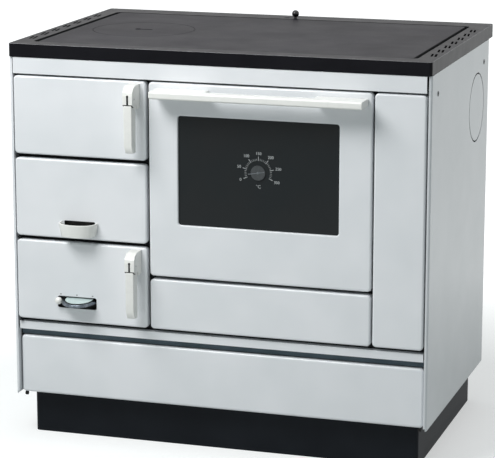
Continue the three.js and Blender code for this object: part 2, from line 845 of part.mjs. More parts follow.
function leverArm(pinZ) {
  const x = about(leverX, armThickness);
  const tip = leverPinY + armReach;
  const neckMiddle = leverPinY - headNose + gripThickness / 2;
  return join(
    rod('x', [leverPinY, pinZ], hubRadius, x, rodSides * 2),
    box(x, about(neckMiddle, neckThickness), [pinZ - neckLength, pinZ]),
    box(x, [leverPinY, tip], about(pinZ, armHeight)),
    box(x, [tip - noseLength, tip], [pinZ, pinZ + armHeight / 2 + noseRise]),
    rod('x', [leverPinY, pinZ], pinRadius, about(leverX, headWidth - 2 * slotSide)),
  );
}

function leverGrip(pinZ) {
  const face = -headNose;
  const rear = face + gripThickness;
  const body = leverSide([
    ...arcPoints([0, 0], gripRadius, -degreesAt(face, gripRadius), -degreesAt(rear, gripRadius)),
    [rear, -gripLength],
    [face + gripToe, -gripLength],
    [face, -gripLength + gripToeRise],
  ], pinZ);
  const socket = box(
    about(leverX, armThickness + 2 * seat),
    about(leverPinY + middle([face, rear]), neckThickness + 2 * seat),
    [pinZ - neckLength - seat, pinZ],
  );
  return cut(prism('yz', body, about(leverX, gripWidth)), socket);
}

function addLever(door, name, pinZ) {
  add(door, `${name}_handle_head`, leverHead(pinZ), ivoryPlastic);
  const lever = carrier(door, `${name}_lever_pin`, leverX, leverPinY, pinZ);
  add(lever, `${name}_latch_arm`, leverArm(pinZ), zincSteel);
  add(lever, `${name}_lever_grip`, leverGrip(pinZ), ivoryPlastic);
}
addLever(fireDoor, 'fire_door', firePinZ);

// Grate door with its cup pull and the air slot behind the cup
const cupInset = 102;
const cupWidth = 83;
const cupRise = 9.5;
const cupHeight = 28;
const cupDepth = 38;
const cupWall = 3;
const cupSteps = 16;
const cupRoundness = 0.62;
const cupSlotInset = 7;
const cupSlotRise = 7;
const cupSlotPast = 1.5;
const cupX = [faceLeft + cupInset, faceLeft + cupInset + cupWidth];
const cupZ = [grateDoorBottom + cupRise, grateDoorBottom + cupRise + cupHeight];
const grateDoorZ = [grateDoorBottom, grateDoorTop];
const grateDoor = carrier(cooker, 'grate_door_hinge', hingeX, hingeY, grateDoorBottom);
const cupSlot = box(
  grown(cupX, -cupSlotInset), grown(panSkin, overrun / 4), [cupZ[0] + cupSlotRise, cupZ[1] + cupSlotPast],
);
add(grateDoor, 'grate_door_panel', cut(hingedPan(grateDoorZ), cupSlot), enamel);
add(grateDoor, 'grate_door_liner', linerOf(grateDoorZ, grateOpening), castIron);

function cupOutline(inset) {
  const back = faceSetback - seat;
  const halfWidth = cupWidth / 2 - inset;
  const points = [];
  for (let i = 0; i <= cupSteps; i += 1) {
    const angle = Math.PI + (Math.PI * i) / cupSteps;
    const bow = Math.abs(Math.sin(angle)) ** cupRoundness;
    points.push([middle(cupX) + halfWidth * Math.cos(angle), back - (cupDepth - inset) * bow]);
  }
  return points;
}

function cupPull() {
  const inner = cupOutline(cupWall);
  const behind = faceSetback + overrun;
  const hollow = outline([...inner, [inner[cupSteps][0], behind], [inner[0][0], behind]]);
  return cut(
    prism('xy', outline(cupOutline(0)), cupZ),
    prism('xy', hollow, [cupZ[0] + cupWall, cupZ[1] + overrun]),
  );
}
add(grateDoor, 'cup_pull', cupPull(), ivoryPlastic);

// Ash door with the air dial, which turns on a tilted pin in a slot in the door
const dialInset = 140;
const dialRise = 50;
const dialTilt = 6;
const dialRadius = 30;
const skirtRadius = 37.5;
const skirtDrop = 5;
const airSlotWidth = 87.5;
const airSlotShift = 5;
const airSlotRise = 30;
const airSlotHeight = 25.5;
const bayWidth = 80;
const bayDrop = 26;
const bayRise = 18;
const dialRoom = 1;
const dialCrown = 2;
const dialFloor = 2.5;
const dialHub = 5;
const dialStem = 6.5;
const grooveWidth = 1.5;
const grooveDepth = 2.5;
const dialCap = 3;
const ballRadius = 7.75;
const ballOrbit = 44.5;
const ballAngle = 191;
const bracketWidth = 12;
const bracketSheet = 2;
const bracketNose = 7;
const dialX = faceLeft + dialInset;
const dialZ = ashDoorBottom + dialRise;
const ashDoorZ = [ashDoorBottom, ashDoorTop];
const ashDoor = carrier(cooker, 'ash_door_hinge', hingeX, hingeY, ashDoorBottom);

// Puts a shape made about +Z at the origin into the dial's own tilted place
function onDial(shape) {
  const tilt = THREE.MathUtils.degToRad(dialTilt);
  return solidOf(shape.rotateX(tilt).translate(dialX, faceSetback, dialZ));
}

function dialRod(radius, [low, high], sides) {
  const shape = new THREE.CylinderGeometry(radius, radius, high - low, sides);
  return onDial(shape.rotateX(Math.PI / 2).translate(0, 0, (low + high) / 2));
}

function dialBracket() {
  const reach = linerFront + overrun - faceSetback;
  const tongue = new THREE.BoxGeometry(bracketWidth, bracketNose + reach, bracketSheet);
  tongue.translate(0, (reach - bracketNose) / 2, -dialStem - seat - bracketSheet / 2);
  const pin = dialRod(pinRadius, [-dialStem - bracketSheet, dialCrown - dialCap - seat], rodSides);
  const inDoor = box(
    about(dialX, 2 * bracketWidth), [faceSetback - overrun, linerFront + linerSheet / 2],
    grown([dialZ, dialZ], overrun),
  );
  return join(pin, onDial(tongue)).intersect(inDoor);
}

function ashLiner() {
  const bayZ = [dialZ - bayDrop, dialZ + bayRise];
  const bay = front(about(dialX, bayWidth), bayZ, grown(linerSpan, overrun / 4), openingRadius);
  const postTop = dialZ - middle([dialFloor, dialStem]);
  const post = box(
    about(dialX, bracketWidth), [linerFront, linerFront + linerSheet], [bayZ[0] - linerSheet, postTop],
  );
  const liner = cut(linerOf(ashDoorZ, ashOpening), bay, armSlot(ashPinZ, linerSpan));
  return join(liner, post, dialBracket());
}

function ashPanel() {
  const slotZ = [ashDoorBottom + airSlotRise, ashDoorBottom + airSlotRise + airSlotHeight];
  const slotX = about(dialX - airSlotShift, airSlotWidth);
  const slot = front(slotX, slotZ, grown(panSkin, overrun / 4), openingRadius);
  const room = dialRod(skirtRadius + dialRoom, [-skirtDrop - dialRoom, dialCrown + dialRoom], roundSides);
  return cut(hingedPan(ashDoorZ), slot, room, armSlot(ashPinZ, panSkin));
}
add(ashDoor, 'ash_door_panel', ashPanel(), enamel);
add(ashDoor, 'ash_door_liner', ashLiner(), castIron);
addLever(ashDoor, 'ash_door', ashPinZ);

const airDial = carrier(ashDoor, 'air_dial_pin', dialX, faceSetback, dialZ);

function ballAt(radius) {
  const ball = new THREE.SphereGeometry(radius, rodSides * 2, rodSides);
  ball.translate(ballOrbit, 0, -skirtDrop / 2).rotateZ(THREE.MathUtils.degToRad(ballAngle));
  return onDial(ball);
}

function dial() {
  const rim = dialRadius + grooveWidth;
  const bore = pinRadius + pinClearance;
  const profile = [
    [0, dialCrown - dialCap], [bore, dialCrown - dialCap], [bore, -dialStem], [dialHub, -dialStem],
    [dialHub, -dialFloor], [rim, -dialFloor], [skirtRadius - grooveWidth, -skirtDrop],
    [skirtRadius, -skirtDrop], [skirtRadius - grooveWidth, 0], [rim, dialCrown - grooveWidth],
    [rim, dialCrown - grooveDepth], [dialRadius, dialCrown - grooveDepth], [dialRadius, dialCrown],
    [0, dialCrown],
  ];
  const shape = new THREE.LatheGeometry(profile.map(([r, h]) => new THREE.Vector2(r, h)), roundSides);
  return cut(onDial(shape.rotateX(Math.PI / 2)), ballAt(ballRadius + seat));
}
add(airDial, 'air_dial', dial(), ivoryPlastic);
add(airDial, 'air_dial_ball', ballAt(ballRadius), ivoryPlastic);

// Oven door: pan with a window, two panes, inner frame, seal and the bar handle
const windowLeft = 63;
const windowRight = 68;
const windowBelow = 112;
const windowAbove = 67;
const windowRadius = 6;
const paneOverlap = 6;
const paneThickness = 4;
const innerWindowInset = 17;
const gaugeDepth = 2.2;
const hingeArmInset = 11;
const hingeArmWidth = 4;
const hingeArmHalf = 3;
const hingeFlange = 7;
const hingeFlangeSheet = 2;
const earSheet = 2;
const earGap = 1.5;
const earHeight = 7;
const windowX = [ovenDoorLeft + windowLeft, ovenDoorRight - windowRight];
const windowZ = [ovenDoorBottom + windowBelow, doorTop - windowAbove];
const innerPaneFront = panBack - paneThickness;
const paneBack = innerPaneFront - gaugeDepth - 2 * seat;
const paneFront = paneBack - paneThickness;
const ovenHinge = [faceSetback + hingeInset, ovenDoorBottom + hingeInset];
const hingeArms = [ovenDoorLeft + hingeArmInset, ovenDoorRight - hingeArmInset];
const ovenDoor = carrier(cooker, 'oven_door_hinge', middle([ovenDoorLeft, ovenDoorRight]), ...ovenHinge);

function ovenDoorPan() {
  const x = [ovenDoorLeft, ovenDoorRight];
  const z = [ovenDoorBottom, doorTop];
  const inside = panSkin[1];
  const near = hingeArmWidth / 2 + earGap;
  const windowReturn = front(
    grown(windowX, panSheet), grown(windowZ, panSheet), [faceSetback, paneFront - seat],
    windowRadius + panSheet,
  );
  const ears = [];
  const cuts = [front(windowX, windowZ, grown(panSkin, overrun / 4), windowRadius)];
  for (const armX of hingeArms) {
    for (const side of [-1, 1]) {
      const [low, high] = across(side, near, near + earSheet);
      const earZ = [z[0] + panSheet / 2, ovenHinge[1] + earHeight];
      ears.push(box([armX + low, armX + high], [inside - seat, panBack], earZ));
    }
    cuts.push(
      box(
        about(armX, hingeArmWidth + earGap), [inside, panBack + overrun],
        [z[0] - overrun, z[0] + panSheet + seat],
      ),
      rod('x', ovenHinge, pinRadius + pinClearance, about(armX, 2 * (near + earSheet + seat))),
    );
  }
  return cut(join(pan(x, z, [faceSetback, panBack]), windowReturn, ...ears), ...cuts);
}
add(ovenDoor, 'oven_door_panel', ovenDoorPan(), enamel);

// Oven thermometer: body behind the outer pane, its spindle through the pane and a needle in front
const gaugeRise = 5;
const gaugeRadius = 20;
const spindleRadius = 2.5;
const spindleRoom = 0.4;
const needleLength = 22;
const needleTail = 14;
const needleWidth = 2.4;
const needleSheet = 1;
const needleHubRadius = 15.5;
const needleHubSheet = 1.2;
const needleAngle = 190;
const gaugePlace = [middle(windowX), middle(windowZ) + gaugeRise];

function outerPane() {
  const pane = front(
    grown(windowX, paneOverlap), grown(windowZ, paneOverlap), [paneFront, paneBack], windowRadius,
  );
  const bore = rod('y', gaugePlace, spindleRadius + spindleRoom, grown([paneFront, paneBack], overrun));
  return cut(pane, bore);
}
add(ovenDoor, 'oven_door_glass', outerPane(), darkGlass);

function ovenLiner() {
  const x = grown([ovenDoorLeft, ovenDoorRight], -linerMargin);
  const z = [ovenDoorBottom + linerHingeMargin, doorTop - linerMargin];
  const { x: ovenX, z: ovenZ } = ovenOpening;
  return cut(
    join(
      front(x, z, [linerFront, linerFront + linerSheet], cornerRadius),
      front(grown(ovenX, bossMargin), grown(ovenZ, bossMargin), linerSpan, cornerRadius),
    ),
    front(
      grown(windowX, -innerWindowInset), grown(windowZ, -innerWindowInset),
      grown(linerSpan, overrun), windowRadius,
    ),
  );
}
add(ovenDoor, 'oven_door_liner', ovenLiner(), blackEnamel);
const innerPane = front(
  grown(windowX, paneOverlap), grown(windowZ, paneOverlap), [innerPaneFront, panBack], windowRadius,
);
add(ovenDoor, 'oven_door_inner_glass', innerPane, clearGlass);
add(ovenDoor, 'oven_door_seal', sealOf(ovenOpening), sealRope);

const barLeft = 18;
const barRight = 9;
const barDrop = 11;
const barHeight = 16;
const barDepth = 50;
const barBlockLeft = 113;
const barBlockRight = 105;
const barWeb = 26;
const barBevel = 2.5;

function barHandle() {
  const x = [ovenDoorLeft + barLeft, ovenDoorRight - barRight];
  const top = doorTop - barDrop;
  const back = faceSetback - seat;
  const nose = back - barDepth;
  const side = outline([
    [back, top - barHeight], [nose + barBevel, top - barHeight], [nose, top - barHeight + barBevel],
    [nose, top - barBevel], [nose + barBevel, top], [back, top],
  ]);
  const fingers = box(
    [x[0] + barBlockLeft, x[1] - barBlockRight], [nose + barWeb, back + overrun],
    grown([top - barHeight, top], overrun),
  );
  return cut(prism('yz', side, x), fingers);
}
add(ovenDoor, 'oven_door_handle', barHandle(), ivoryPlastic);

const needleBack = paneFront - seat;
const needleFront = needleBack - needleSheet;

function gaugeBody() {
  const gaugeFront = paneBack + seat;
  return join(
    rod('y', gaugePlace, gaugeRadius, [gaugeFront, gaugeFront + gaugeDepth], roundSides),
    rod('y', gaugePlace, spindleRadius, [needleFront, gaugeFront + gaugeDepth]),
  );
}
add(ovenDoor, 'thermometer_body', gaugeBody(), blackSteel);

const needle = carrier(ovenDoor, 'thermometer_pin', gaugePlace[0], needleFront, gaugePlace[1]);

function needlePiece() {
  const bar = new THREE.BoxGeometry(needleLength + needleTail, needleSheet, needleWidth);
  bar.translate((needleLength - needleTail) / 2, 0, 0);
  bar.rotateY(-THREE.MathUtils.degToRad(needleAngle));
  bar.translate(gaugePlace[0], middle([needleFront, needleBack]), gaugePlace[1]);
  const hubDepth = [needleFront - needleHubSheet, needleBack];
  const hub = rod('y', gaugePlace, needleHubRadius, hubDepth, rodSides * 2);
  const bore = rod('y', gaugePlace, spindleRadius + spindleRoom, [needleFront - seat, needleBack + overrun]);
  return cut(join(solidOf(bar), hub), bore);
}
add(needle, 'thermometer_needle', needlePiece(), blackPlastic);

function ovenHingeArm(armX) {
  const x = about(armX, hingeArmWidth);
  const level = about(ovenHinge[1], 2 * hingeArmHalf);
  const flange = box(
    about(armX, 2 * hingeFlange), [sealBack - hingeFlangeSheet, sealBack],
    about(ovenHinge[1], 2 * hingeFlange),
  );
  return join(
    rod('x', ovenHinge, hingeArmHalf, x, rodSides * 2),
    box(x, [ovenHinge[0], sealBack], level),
    flange,
    rod('x', ovenHinge, pinRadius, about(armX, hingeArmWidth + 2 * (earGap + earSheet))),
  );
}
add(cooker, 'oven_hinge_left', ovenHingeArm(hingeArms[0]), zincSteel);
add(cooker, 'oven_hinge_right', ovenHingeArm(hingeArms[1]), zincSteel);

// Oven box with shelf ribs, and a wire rack on the middle ribs
const ovenRear = 55;
const ovenSheet = 2;
const ribCount = 3;
const ribWidth = 6;
const ribHeight = 3;
const ribInset = 12;
const rackWireRadius = 3;
const rackBarRadius = 2;
const rackBars = 9;
const rackInset = 1.5;
const ovenY = [chamberFront, backPanelFront - ovenRear];
const ribPitch = (ovenOpening.z[1] - ovenOpening.z[0]) / (ribCount + 1);

function ovenBox() {
  const { x, z } = ovenOpening;
  const inside = [ovenY[0] - overrun, ovenY[1] - ovenSheet];
  const shell = cut(box(grown(x, ovenSheet), ovenY, grown(z, ovenSheet)), box(x, inside, z));
  const ribs = [];
  for (let i = 1; i <= ribCount; i += 1) {
    const level = z[0] + i * ribPitch;
    for (const [wall, side] of [[x[0], -1], [x[1], 1]]) {
      const span = [wall - side * ribWidth, wall + (side * ovenSheet) / 2].sort((a, b) => a - b);
      ribs.push(box(span, grown(ovenY, -ribInset), [level - ribHeight, level]));
    }
  }
  return join(shell, ...ribs);
}
add(cooker, 'oven_box', ovenBox(), blackEnamel);

function ovenRack() {
  const level = ovenOpening.z[0] + Math.ceil(ribCount / 2) * ribPitch + seat + rackWireRadius;
  const x = grown(ovenOpening.x, -rackInset - rackWireRadius);
  const y = grown(ovenY, -ribInset - rackWireRadius);
  const wires = [];
  for (const end of y) wires.push(rod('x', [end, level], rackWireRadius, x));
  for (const end of x) wires.push(rod('y', [end, level], rackWireRadius, y));
  for (let i = 1; i <= rackBars; i += 1) {
    const barAt = x[0] + ((x[1] - x[0]) * i) / (rackBars + 1);
    wires.push(rod('y', [barAt, level], rackBarRadius, y, rodSides / 2));
  }
  for (const corner of x.flatMap((px) => y.map((py) => [px, py]))) {
    wires.push(rod('z', corner, rackWireRadius, about(level, 2 * rackBarRadius)));
  }
  return join(...wires);
}
add(cooker, 'oven_rack', ovenRack(), zincSteel);

// Firebox casing with the bricks on the fire grate, and the ash pan below
const casingSheet = 3;
const casingMargin = 11;
const casingRear = 73;
const casingTopGap = 36.7;
const ashFloorDrop = 12;
const flueWindowEnd = 76;
const flueWindowHeight = 48;
const flueWindowRim = 10;
const grateRise = 8;
const grateThickness = 12;
const grateSlots = 7;
const grateSlotWidth = 9;
const grateEdge = 30;
const grateEnd = 60;
const brickThickness = 25;
const brickHeight = 240;
const brickStart = 34;
const casingX = grown(fuelOpeningX, casingMargin);
const casingInside = grown(casingX, -casingSheet);
const casingY = [chamberFront, backPanelFront - casingRear];
const casingTop = ledgeBottom - casingTopGap;
const ashFloor = ashOpening.z[0] - ashFloorDrop;

function fireboxCasing() {
  const windowTop = casingTop - flueWindowRim;
  return cut(
    box(casingX, casingY, [ashFloor - casingSheet, casingTop]),
    box(casingInside, [casingY[0] - overrun, casingY[1] - casingSheet], [ashFloor, casingTop + overrun]),
    box(
      [casingInside[1] - seat, casingX[1] + overrun], grown(casingY, -flueWindowEnd),
      [windowTop - flueWindowHeight, windowTop],
    ),
  );
}
add(cooker, 'firebox_casing', fireboxCasing(), blackSteel);

const grateX = grown(casingInside, -seat);
const grateY = [casingY[0] + casingMargin, casingY[1] - casingSheet - seat];
const grateZ = [grateOpening.z[0] + grateRise, grateOpening.z[0] + grateRise + grateThickness];

function fireGrate() {
  const slotZone = grown(grateX, -grateEdge);
  const pitch = (slotZone[1] - slotZone[0]) / (grateSlots - 1);
  const slots = [];
  for (let i = 0; i < grateSlots; i += 1) {
    const x = about(slotZone[0] + i * pitch, grateSlotWidth);
    slots.push(box(x, grown(grateY, -grateEnd), grown(grateZ, overrun)));
  }
  return cut(box(grateX, grateY, grateZ), ...slots);
}
add(cooker, 'fire_grate', fireGrate(), castIron);

const brickZ = [grateZ[1] + seat, grateZ[1] + seat + brickHeight];
const brickY = [casingY[0] + brickStart, grateY[1]];
const backBrickX = grown(grateX, -brickThickness - seat);
add(cooker, 'firebrick_left', box([grateX[0], grateX[0] + brickThickness], brickY, brickZ), fireclay);
add(cooker, 'firebrick_right', box([grateX[1] - brickThickness, grateX[1]], brickY, brickZ), fireclay);
add(cooker, 'firebrick_back', box(backBrickX, [brickY[1] - brickThickness, brickY[1]], brickZ), fireclay);

const ashPanSide = 8;
const ashPanStart = 32;
const ashPanRear = 20;
const ashPanHeight = 60;
const ashPanSheet = 1.5;
const bailWidth = 70;
const bailReach = 12;
const bailDrop = 14;
const bailHeight = 7;
const bailWall = 2;

function ashPan() {
  const x = grown(casingInside, -ashPanSide);
  const y = [casingY[0] + ashPanStart, casingY[1] - casingSheet - ashPanRear];
  const z = [ashFloor + seat, ashFloor + seat + ashPanHeight];
  const bailX = about(middle(x), bailWidth);
  const bailZ = [z[1] - bailDrop - bailHeight, z[1] - bailDrop];
  const bail = cut(
    box(bailX, [y[0] - bailReach, y[0] + ashPanSheet / 2], bailZ),
    box(grown(bailX, -bailWall), [y[0] - bailReach + bailWall, y[0]], grown(bailZ, overrun)),
  );
  const tray = cut(
    box(x, y, z),
    box(grown(x, -ashPanSheet), grown(y, -ashPanSheet), [z[0] + ashPanSheet, z[1] + overrun]),
  );
  return join(tray, bail);
}
add(cooker, 'ash_pan', ashPan(), zincSteel);

// Fuel drawer: enamelled front with a sheet box behind it and a rubber buffer under each end
const bufferRadius = 4.4;
const bufferWidth = 6;
const bufferInset = 0.5;
const drawerPanBack = drawerSetback + panDepth;
const drawer = carrier(cooker, 'fuel_drawer_slide', 0, drawerSetback, drawerBottom);
const drawerFront = pan([faceLeft, faceRight], [drawerBottom, drawerTop], [drawerSetback, drawerPanBack]);
add(drawer, 'fuel_drawer_front', drawerFront, enamel);

function drawerBox() {
  const x = [-drawerBoxHalf, drawerBoxHalf];
  const y = [drawerSetback + panSheet + seat, drawerBack];
  const z = [drawerFloor, drawerTop - drawerBoxDrop];
  return cut(
    box(x, y, z),
    box(grown(x, -drawerSheet), grown(y, -drawerSheet), [z[0] + drawerSheet, z[1] + overrun]),
  );
}
add(drawer, 'fuel_drawer_box', drawerBox(), zincSteel);

function drawerBuffer(side) {
  const place = [drawerSetback + panDepth / 2, drawerBottom - seat - bufferRadius];
  const far = faceRight - bufferInset - cornerRadius / 2;
  return rod('x', place, bufferRadius, across(side, far - bufferWidth, far), rodSides * 2);
}
add(drawer, 'drawer_buffer_left', drawerBuffer(-1), rubber);
add(drawer, 'drawer_buffer_right', drawerBuffer(1), rubber);

// The finished cooker stands centred over its own box
const frontmost = faceSetback - seat - barDepth;
cooker.position.set(0, -(frontmost + hobDepth) / 2, 0);

export default cooker;
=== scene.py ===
"""Wood-burning range cooker: enamelled casing, black hob and ivory handles, dressed round the CAD frame."""

import math

import bmesh
import bpy
from mathutils import Matrix, Vector


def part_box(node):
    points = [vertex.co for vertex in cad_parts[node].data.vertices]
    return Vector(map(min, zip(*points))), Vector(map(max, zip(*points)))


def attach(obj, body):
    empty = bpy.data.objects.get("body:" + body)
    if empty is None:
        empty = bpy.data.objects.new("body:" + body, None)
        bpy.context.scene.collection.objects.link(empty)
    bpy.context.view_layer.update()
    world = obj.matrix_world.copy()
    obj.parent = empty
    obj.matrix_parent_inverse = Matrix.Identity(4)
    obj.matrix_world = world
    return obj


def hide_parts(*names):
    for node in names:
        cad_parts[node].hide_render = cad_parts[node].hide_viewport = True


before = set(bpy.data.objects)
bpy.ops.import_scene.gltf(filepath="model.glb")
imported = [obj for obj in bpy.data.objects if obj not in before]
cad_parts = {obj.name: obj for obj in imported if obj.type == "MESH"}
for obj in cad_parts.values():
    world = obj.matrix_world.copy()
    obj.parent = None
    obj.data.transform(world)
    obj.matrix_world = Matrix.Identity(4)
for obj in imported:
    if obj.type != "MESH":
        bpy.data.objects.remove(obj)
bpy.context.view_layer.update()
scene = bpy.context.scene

# Lengths in this file are in millimetres, unless they say metres; MM turns them to metres.
MM = 0.001
SEAT = 0.3
MERGE = 0.01
ROUND = 96
FINE_ROUND = 128
FOLD_STEPS = 6
CORNER_STEPS = 8
SMOOTH_BELOW = math.radians(34)
FLAT_WITHIN = math.radians(0.5)
FLAT_WEIGHT = 80

# A face is level with more than LEVEL of its normal upwards, sideways with more than SIDEWAYS along x, and
# turned away from a direction with less than AWAY along it.
LEVEL = 0.93
SIDEWAYS = 0.9
AWAY = 0.5


# Finishes

def linear(colour):
    """An sRGB hex colour such as "#e8e8ec" as linear red, green, blue and alpha."""
    parts = [int(colour[i:i + 2], 16) / 255 for i in (1, 3, 5)]
    return tuple(c / 12.92 if c <= 0.04045 else ((c + 0.055) / 1.055) ** 2.4 for c in parts) + (1.0,)


def add_node(tree, kind, inputs=None, **settings):
    """Adds a node, sets its properties, then sets or links its inputs."""
    made = tree.nodes.new(kind)
    for key, value in settings.items():
        setattr(made, key, value)
    for key, value in (inputs or {}).items():
        if isinstance(value, bpy.types.NodeSocket):
            tree.links.new(value, made.inputs[key])
        else:
            made.inputs[key].default_value = value
    return made


def blotches(size, detail=2.0, roughness=0.5, distortion=0.0):
    """The pattern of soft blotches of about this size: its node, output, inputs and settings."""
    inputs = {"Scale": 1 / (size * MM), "Detail": detail, "Roughness": roughness, "Distortion": distortion}
    return "ShaderNodeTexNoise", "Fac", inputs, {}


def finish(name, roughness, specular, colour, bumps=None, gloss=None, specks=None, metallic=0.0, ior=1.5,
           extra=None):
    """A material whose colour, bumps and gloss each follow a pattern; what is even stays on the shader.

    colour and specks are dark, light, pattern and the part of the pattern that they run over; specks darken
    the colour. bumps are pattern, depth and strength. gloss is pattern, lowest and highest roughness.
    """
    material = bpy.data.materials.new(name)
    material.use_nodes = True
    tree = material.node_tree
    shader = tree.nodes["Principled BSDF"]
    even = {"Roughness": roughness, "Metallic": metallic, "IOR": ior, "Specular IOR Level": specular}
    for socket, value in {**even, **(extra or {})}.items():
        shader.inputs[socket].default_value = value
    place = add_node(tree, "ShaderNodeTexCoord").outputs["Object"]

    def drawn(pattern):
        kind, output, inputs, settings = pattern
        return add_node(tree, kind, {"Vector": place, **inputs}, **settings).outputs[output]

    def tinted(dark, light, pattern, low=0.35, high=0.65):
        ramp = add_node(tree, "ShaderNodeValToRGB", {"Fac": drawn(pattern)})
        for stop, position, tint in zip(ramp.color_ramp.elements, (low, high), (dark, light)):
            stop.position = position
            stop.color = linear(tint)
        return ramp.outputs["Color"]

    base = tinted(*colour)
    if specks:
        both = {0: 1.0, 6: base, 7: tinted(*specks)}
        base = add_node(tree, "ShaderNodeMix", both, data_type="RGBA", blend_type="MULTIPLY").outputs[2]
    tree.links.new(base, shader.inputs["Base Color"])
    if gloss:
        pattern, low, high = gloss
        drift = add_node(tree, "ShaderNodeMapRange", {"Value": drawn(pattern), "To Min": low, "To Max": high})
        tree.links.new(drift.outputs["Result"], shader.inputs["Roughness"])
    if bumps:
        pattern, depth, strength = bumps
        relief = {"Height": drawn(pattern), "Distance": depth * MM, "Strength": strength}
        tree.links.new(add_node(tree, "ShaderNodeBump", relief).outputs["Normal"], shader.inputs["Normal"])
    return material


def vitreous_enamel(name, specular):
    """White porcelain enamel on pressed steel: wet gloss, faint orange peel, a slight drift in its white."""
    return finish(
        name, 0.16, specular, ("#e3e6e9", "#eaecef", blotches(140)), (blotches(9, 1.0), 0.03, 0.5),
        (blotches(60), 0.13, 0.2),
    )


def black_enamel(name, specular):
    """Black enamel on folded steel: near black face on, grey where it is seen along the surface."""
    return finish(
        name, 0.3, specular, ("#121216", "#17171b", blotches(90)), (blotches(5, 1.0), 0.02, 0.4),
        (blotches(30), 0.26, 0.36),
    )


WHITE = vitreous_enamel("white vitreous enamel", 0.5)
# The side panels' enamel is the same white, with less gloss.
SIDE_WHITE = vitreous_enamel("white enamel of the sides, less glossy", 0.15)
BLACK = black_enamel("black enamel on steel", 0.05)
# On the hob frame's level top heat has dulled the black, so it hardly mirrors anything.
BLACK_TOP = black_enamel("black enamel dulled by heat", 0.02)
# Powder coat of the plinth: a dark, satin blue-black with the coat's fine pebble, drawn coarser to show.
PLINTH = finish(
    "blue-black powder coat", 0.5, 0.1, ("#11151a", "#171b20", blotches(120)), (blotches(2.5), 0.05, 0.4),
)
# Ground and blackened cast iron of the hob: grey, with a fine grain and soft cloudy wear from pans.
HOB_IRON = finish(
    "ground cast iron", 0.56, 0.08, ("#242327", "#2d2c31", blotches(150, 4.0), 0.3, 0.7),
    (blotches(2.2, 4.0, 0.7), 0.12, 0.35), (blotches(80, 3.0), 0.45, 0.6),
    ("#cfcfcf", "#ffffff", blotches(3.0, 3.0), 0.3, 0.6),
)
# Sand-cast grey iron of the liners and the grate: dull, pitted like the sand it was poured in.
RAW_IRON = finish(
    "sand-cast grey iron", 0.78, 0.3, ("#2b2a2b", "#3d3b3a", blotches(18, 4.0)),
    (blotches(1.6, 4.0, 0.75), 0.4, 0.7),
)
# Heat-proof matt black on plain sheet: flat, slightly dusty.
# It is also painted shade on the side panels' top hems, the flue cap's rim, the hob plate's outer edges and
# the sheets that darken the vents.
STOVE_BLACK_AND_PAINTED_SHADE = finish(
    "matt stove black, also painted shade", 0.7, 0.2, ("#0f1114", "#17191c", blotches(70, 3.0)), (blotches(1.2), 0.04, 0.4),
)
# Speckled black oven enamel: glossy, with small pale flecks set about 4 mm apart.
FLECKS = ("ShaderNodeTexVoronoi", "Distance", {"Scale": 1 / (4 * MM)}, {})
OVEN_ENAMEL = finish(
    "flecked oven enamel", 0.22, 0.4, ("#7c8084", "#15171a", FLECKS, 0.05, 0.12),
    (blotches(8, 1.0), 0.04, 0.4),
)
# Zinc-plated steel: bright grey metal with spangles about 12 mm across and a fine tooth.
SPANGLES = ("ShaderNodeTexVoronoi", "Color", {"Scale": 1 / (12 * MM)}, {})
ZINC = finish(
    "zinc-plated steel", 0.36, 0.5, ("#9da1a4", "#b9bcbe", SPANGLES, 0.2, 0.8), (blotches(1.5), 0.02, 0.3),
    (blotches(12), 0.28, 0.45), metallic=1.0,
)
# Ivory moulded thermoset of the handles: warm off-white, softly glossy, with faint flow clouds.
IVORY = finish(
    "ivory moulded thermoset", 0.28, 0.5, ("#eeeeea", "#f2f2ee", blotches(25, 2.0, 0.5, 1.5)),
    (blotches(3, 1.0), 0.015, 0.3), extra={"Coat Weight": 0.15, "Coat Roughness": 0.12},
)
# The air dial's moulded disc: a like thermoset, its pale grey-green darker than the handles' ivory through
# painted shade.
DIAL_WITH_PAINTED_SHADE = finish(
    "pale moulded dial with painted shade", 0.33, 0.5, ("#b6c8c7", "#c2d1d0", blotches(20)), (blotches(2.5, 1.0), 0.015, 0.3),
)
# Black moulded thermoset of the damper knob: smooth and glossy.
# The same black is painted shade in the levers' pin holes, slits and joints, and in the air dial's groove.
KNOB_BLACK_AND_GAP_SHADE = finish(
    "black moulded thermoset and painted gap shade", 0.25, 0.5, ("#0d0d0f", "#141416", blotches(12)),
    (blotches(2, 1.0), 0.01, 0.3),
)
# Grey paint on the thermometer's needle and cap: satin, a shade over the dark glass.
NEEDLE = finish(
    "grey needle paint", 0.4, 0.4, ("#303436", "#3a3e40", blotches(6)), (blotches(1.5, 1.0), 0.01, 0.3),
)
# Pale grey paint of the pointer's line: the one light stroke over the needle's cap.
POINTER = finish("pale pointer paint", 0.45, 0.3, ("#5c6163", "#70757a", blotches(5)))
# Painted highlight on the hob frame's rounded top edge: a lighter grey, glossier black enamel in place of the
# light that the edge catches.
EDGE_HIGHLIGHT_PAINT = finish(
    "black enamel with a painted edge highlight", 0.25, 0.6, ("#88888c", "#9c9ca0", blotches(40, 3.0)),
    (blotches(6, 1.0), 0.02, 0.4),
)
# The dial's satin plated skirt: dark grey metal that goes bright where it turns away.
SKIRT = finish(
    "satin plated skirt", 0.24, 0.5, ("#5a626a", "#747c84", blotches(9)), (blotches(1.5), 0.01, 0.3),
    metallic=1.0,
)
# Steel of the side screws: a blue-black that is painted shade of the dimples they sit in; only the crown
# catches the light.
SCREW_DARKENED_AS_SHADE = finish(
    "screw steel darkened as painted shade", 0.4, 0.3, ("#272b2e", "#34393c", blotches(3)), (blotches(1.0), 0.01, 0.3),
)
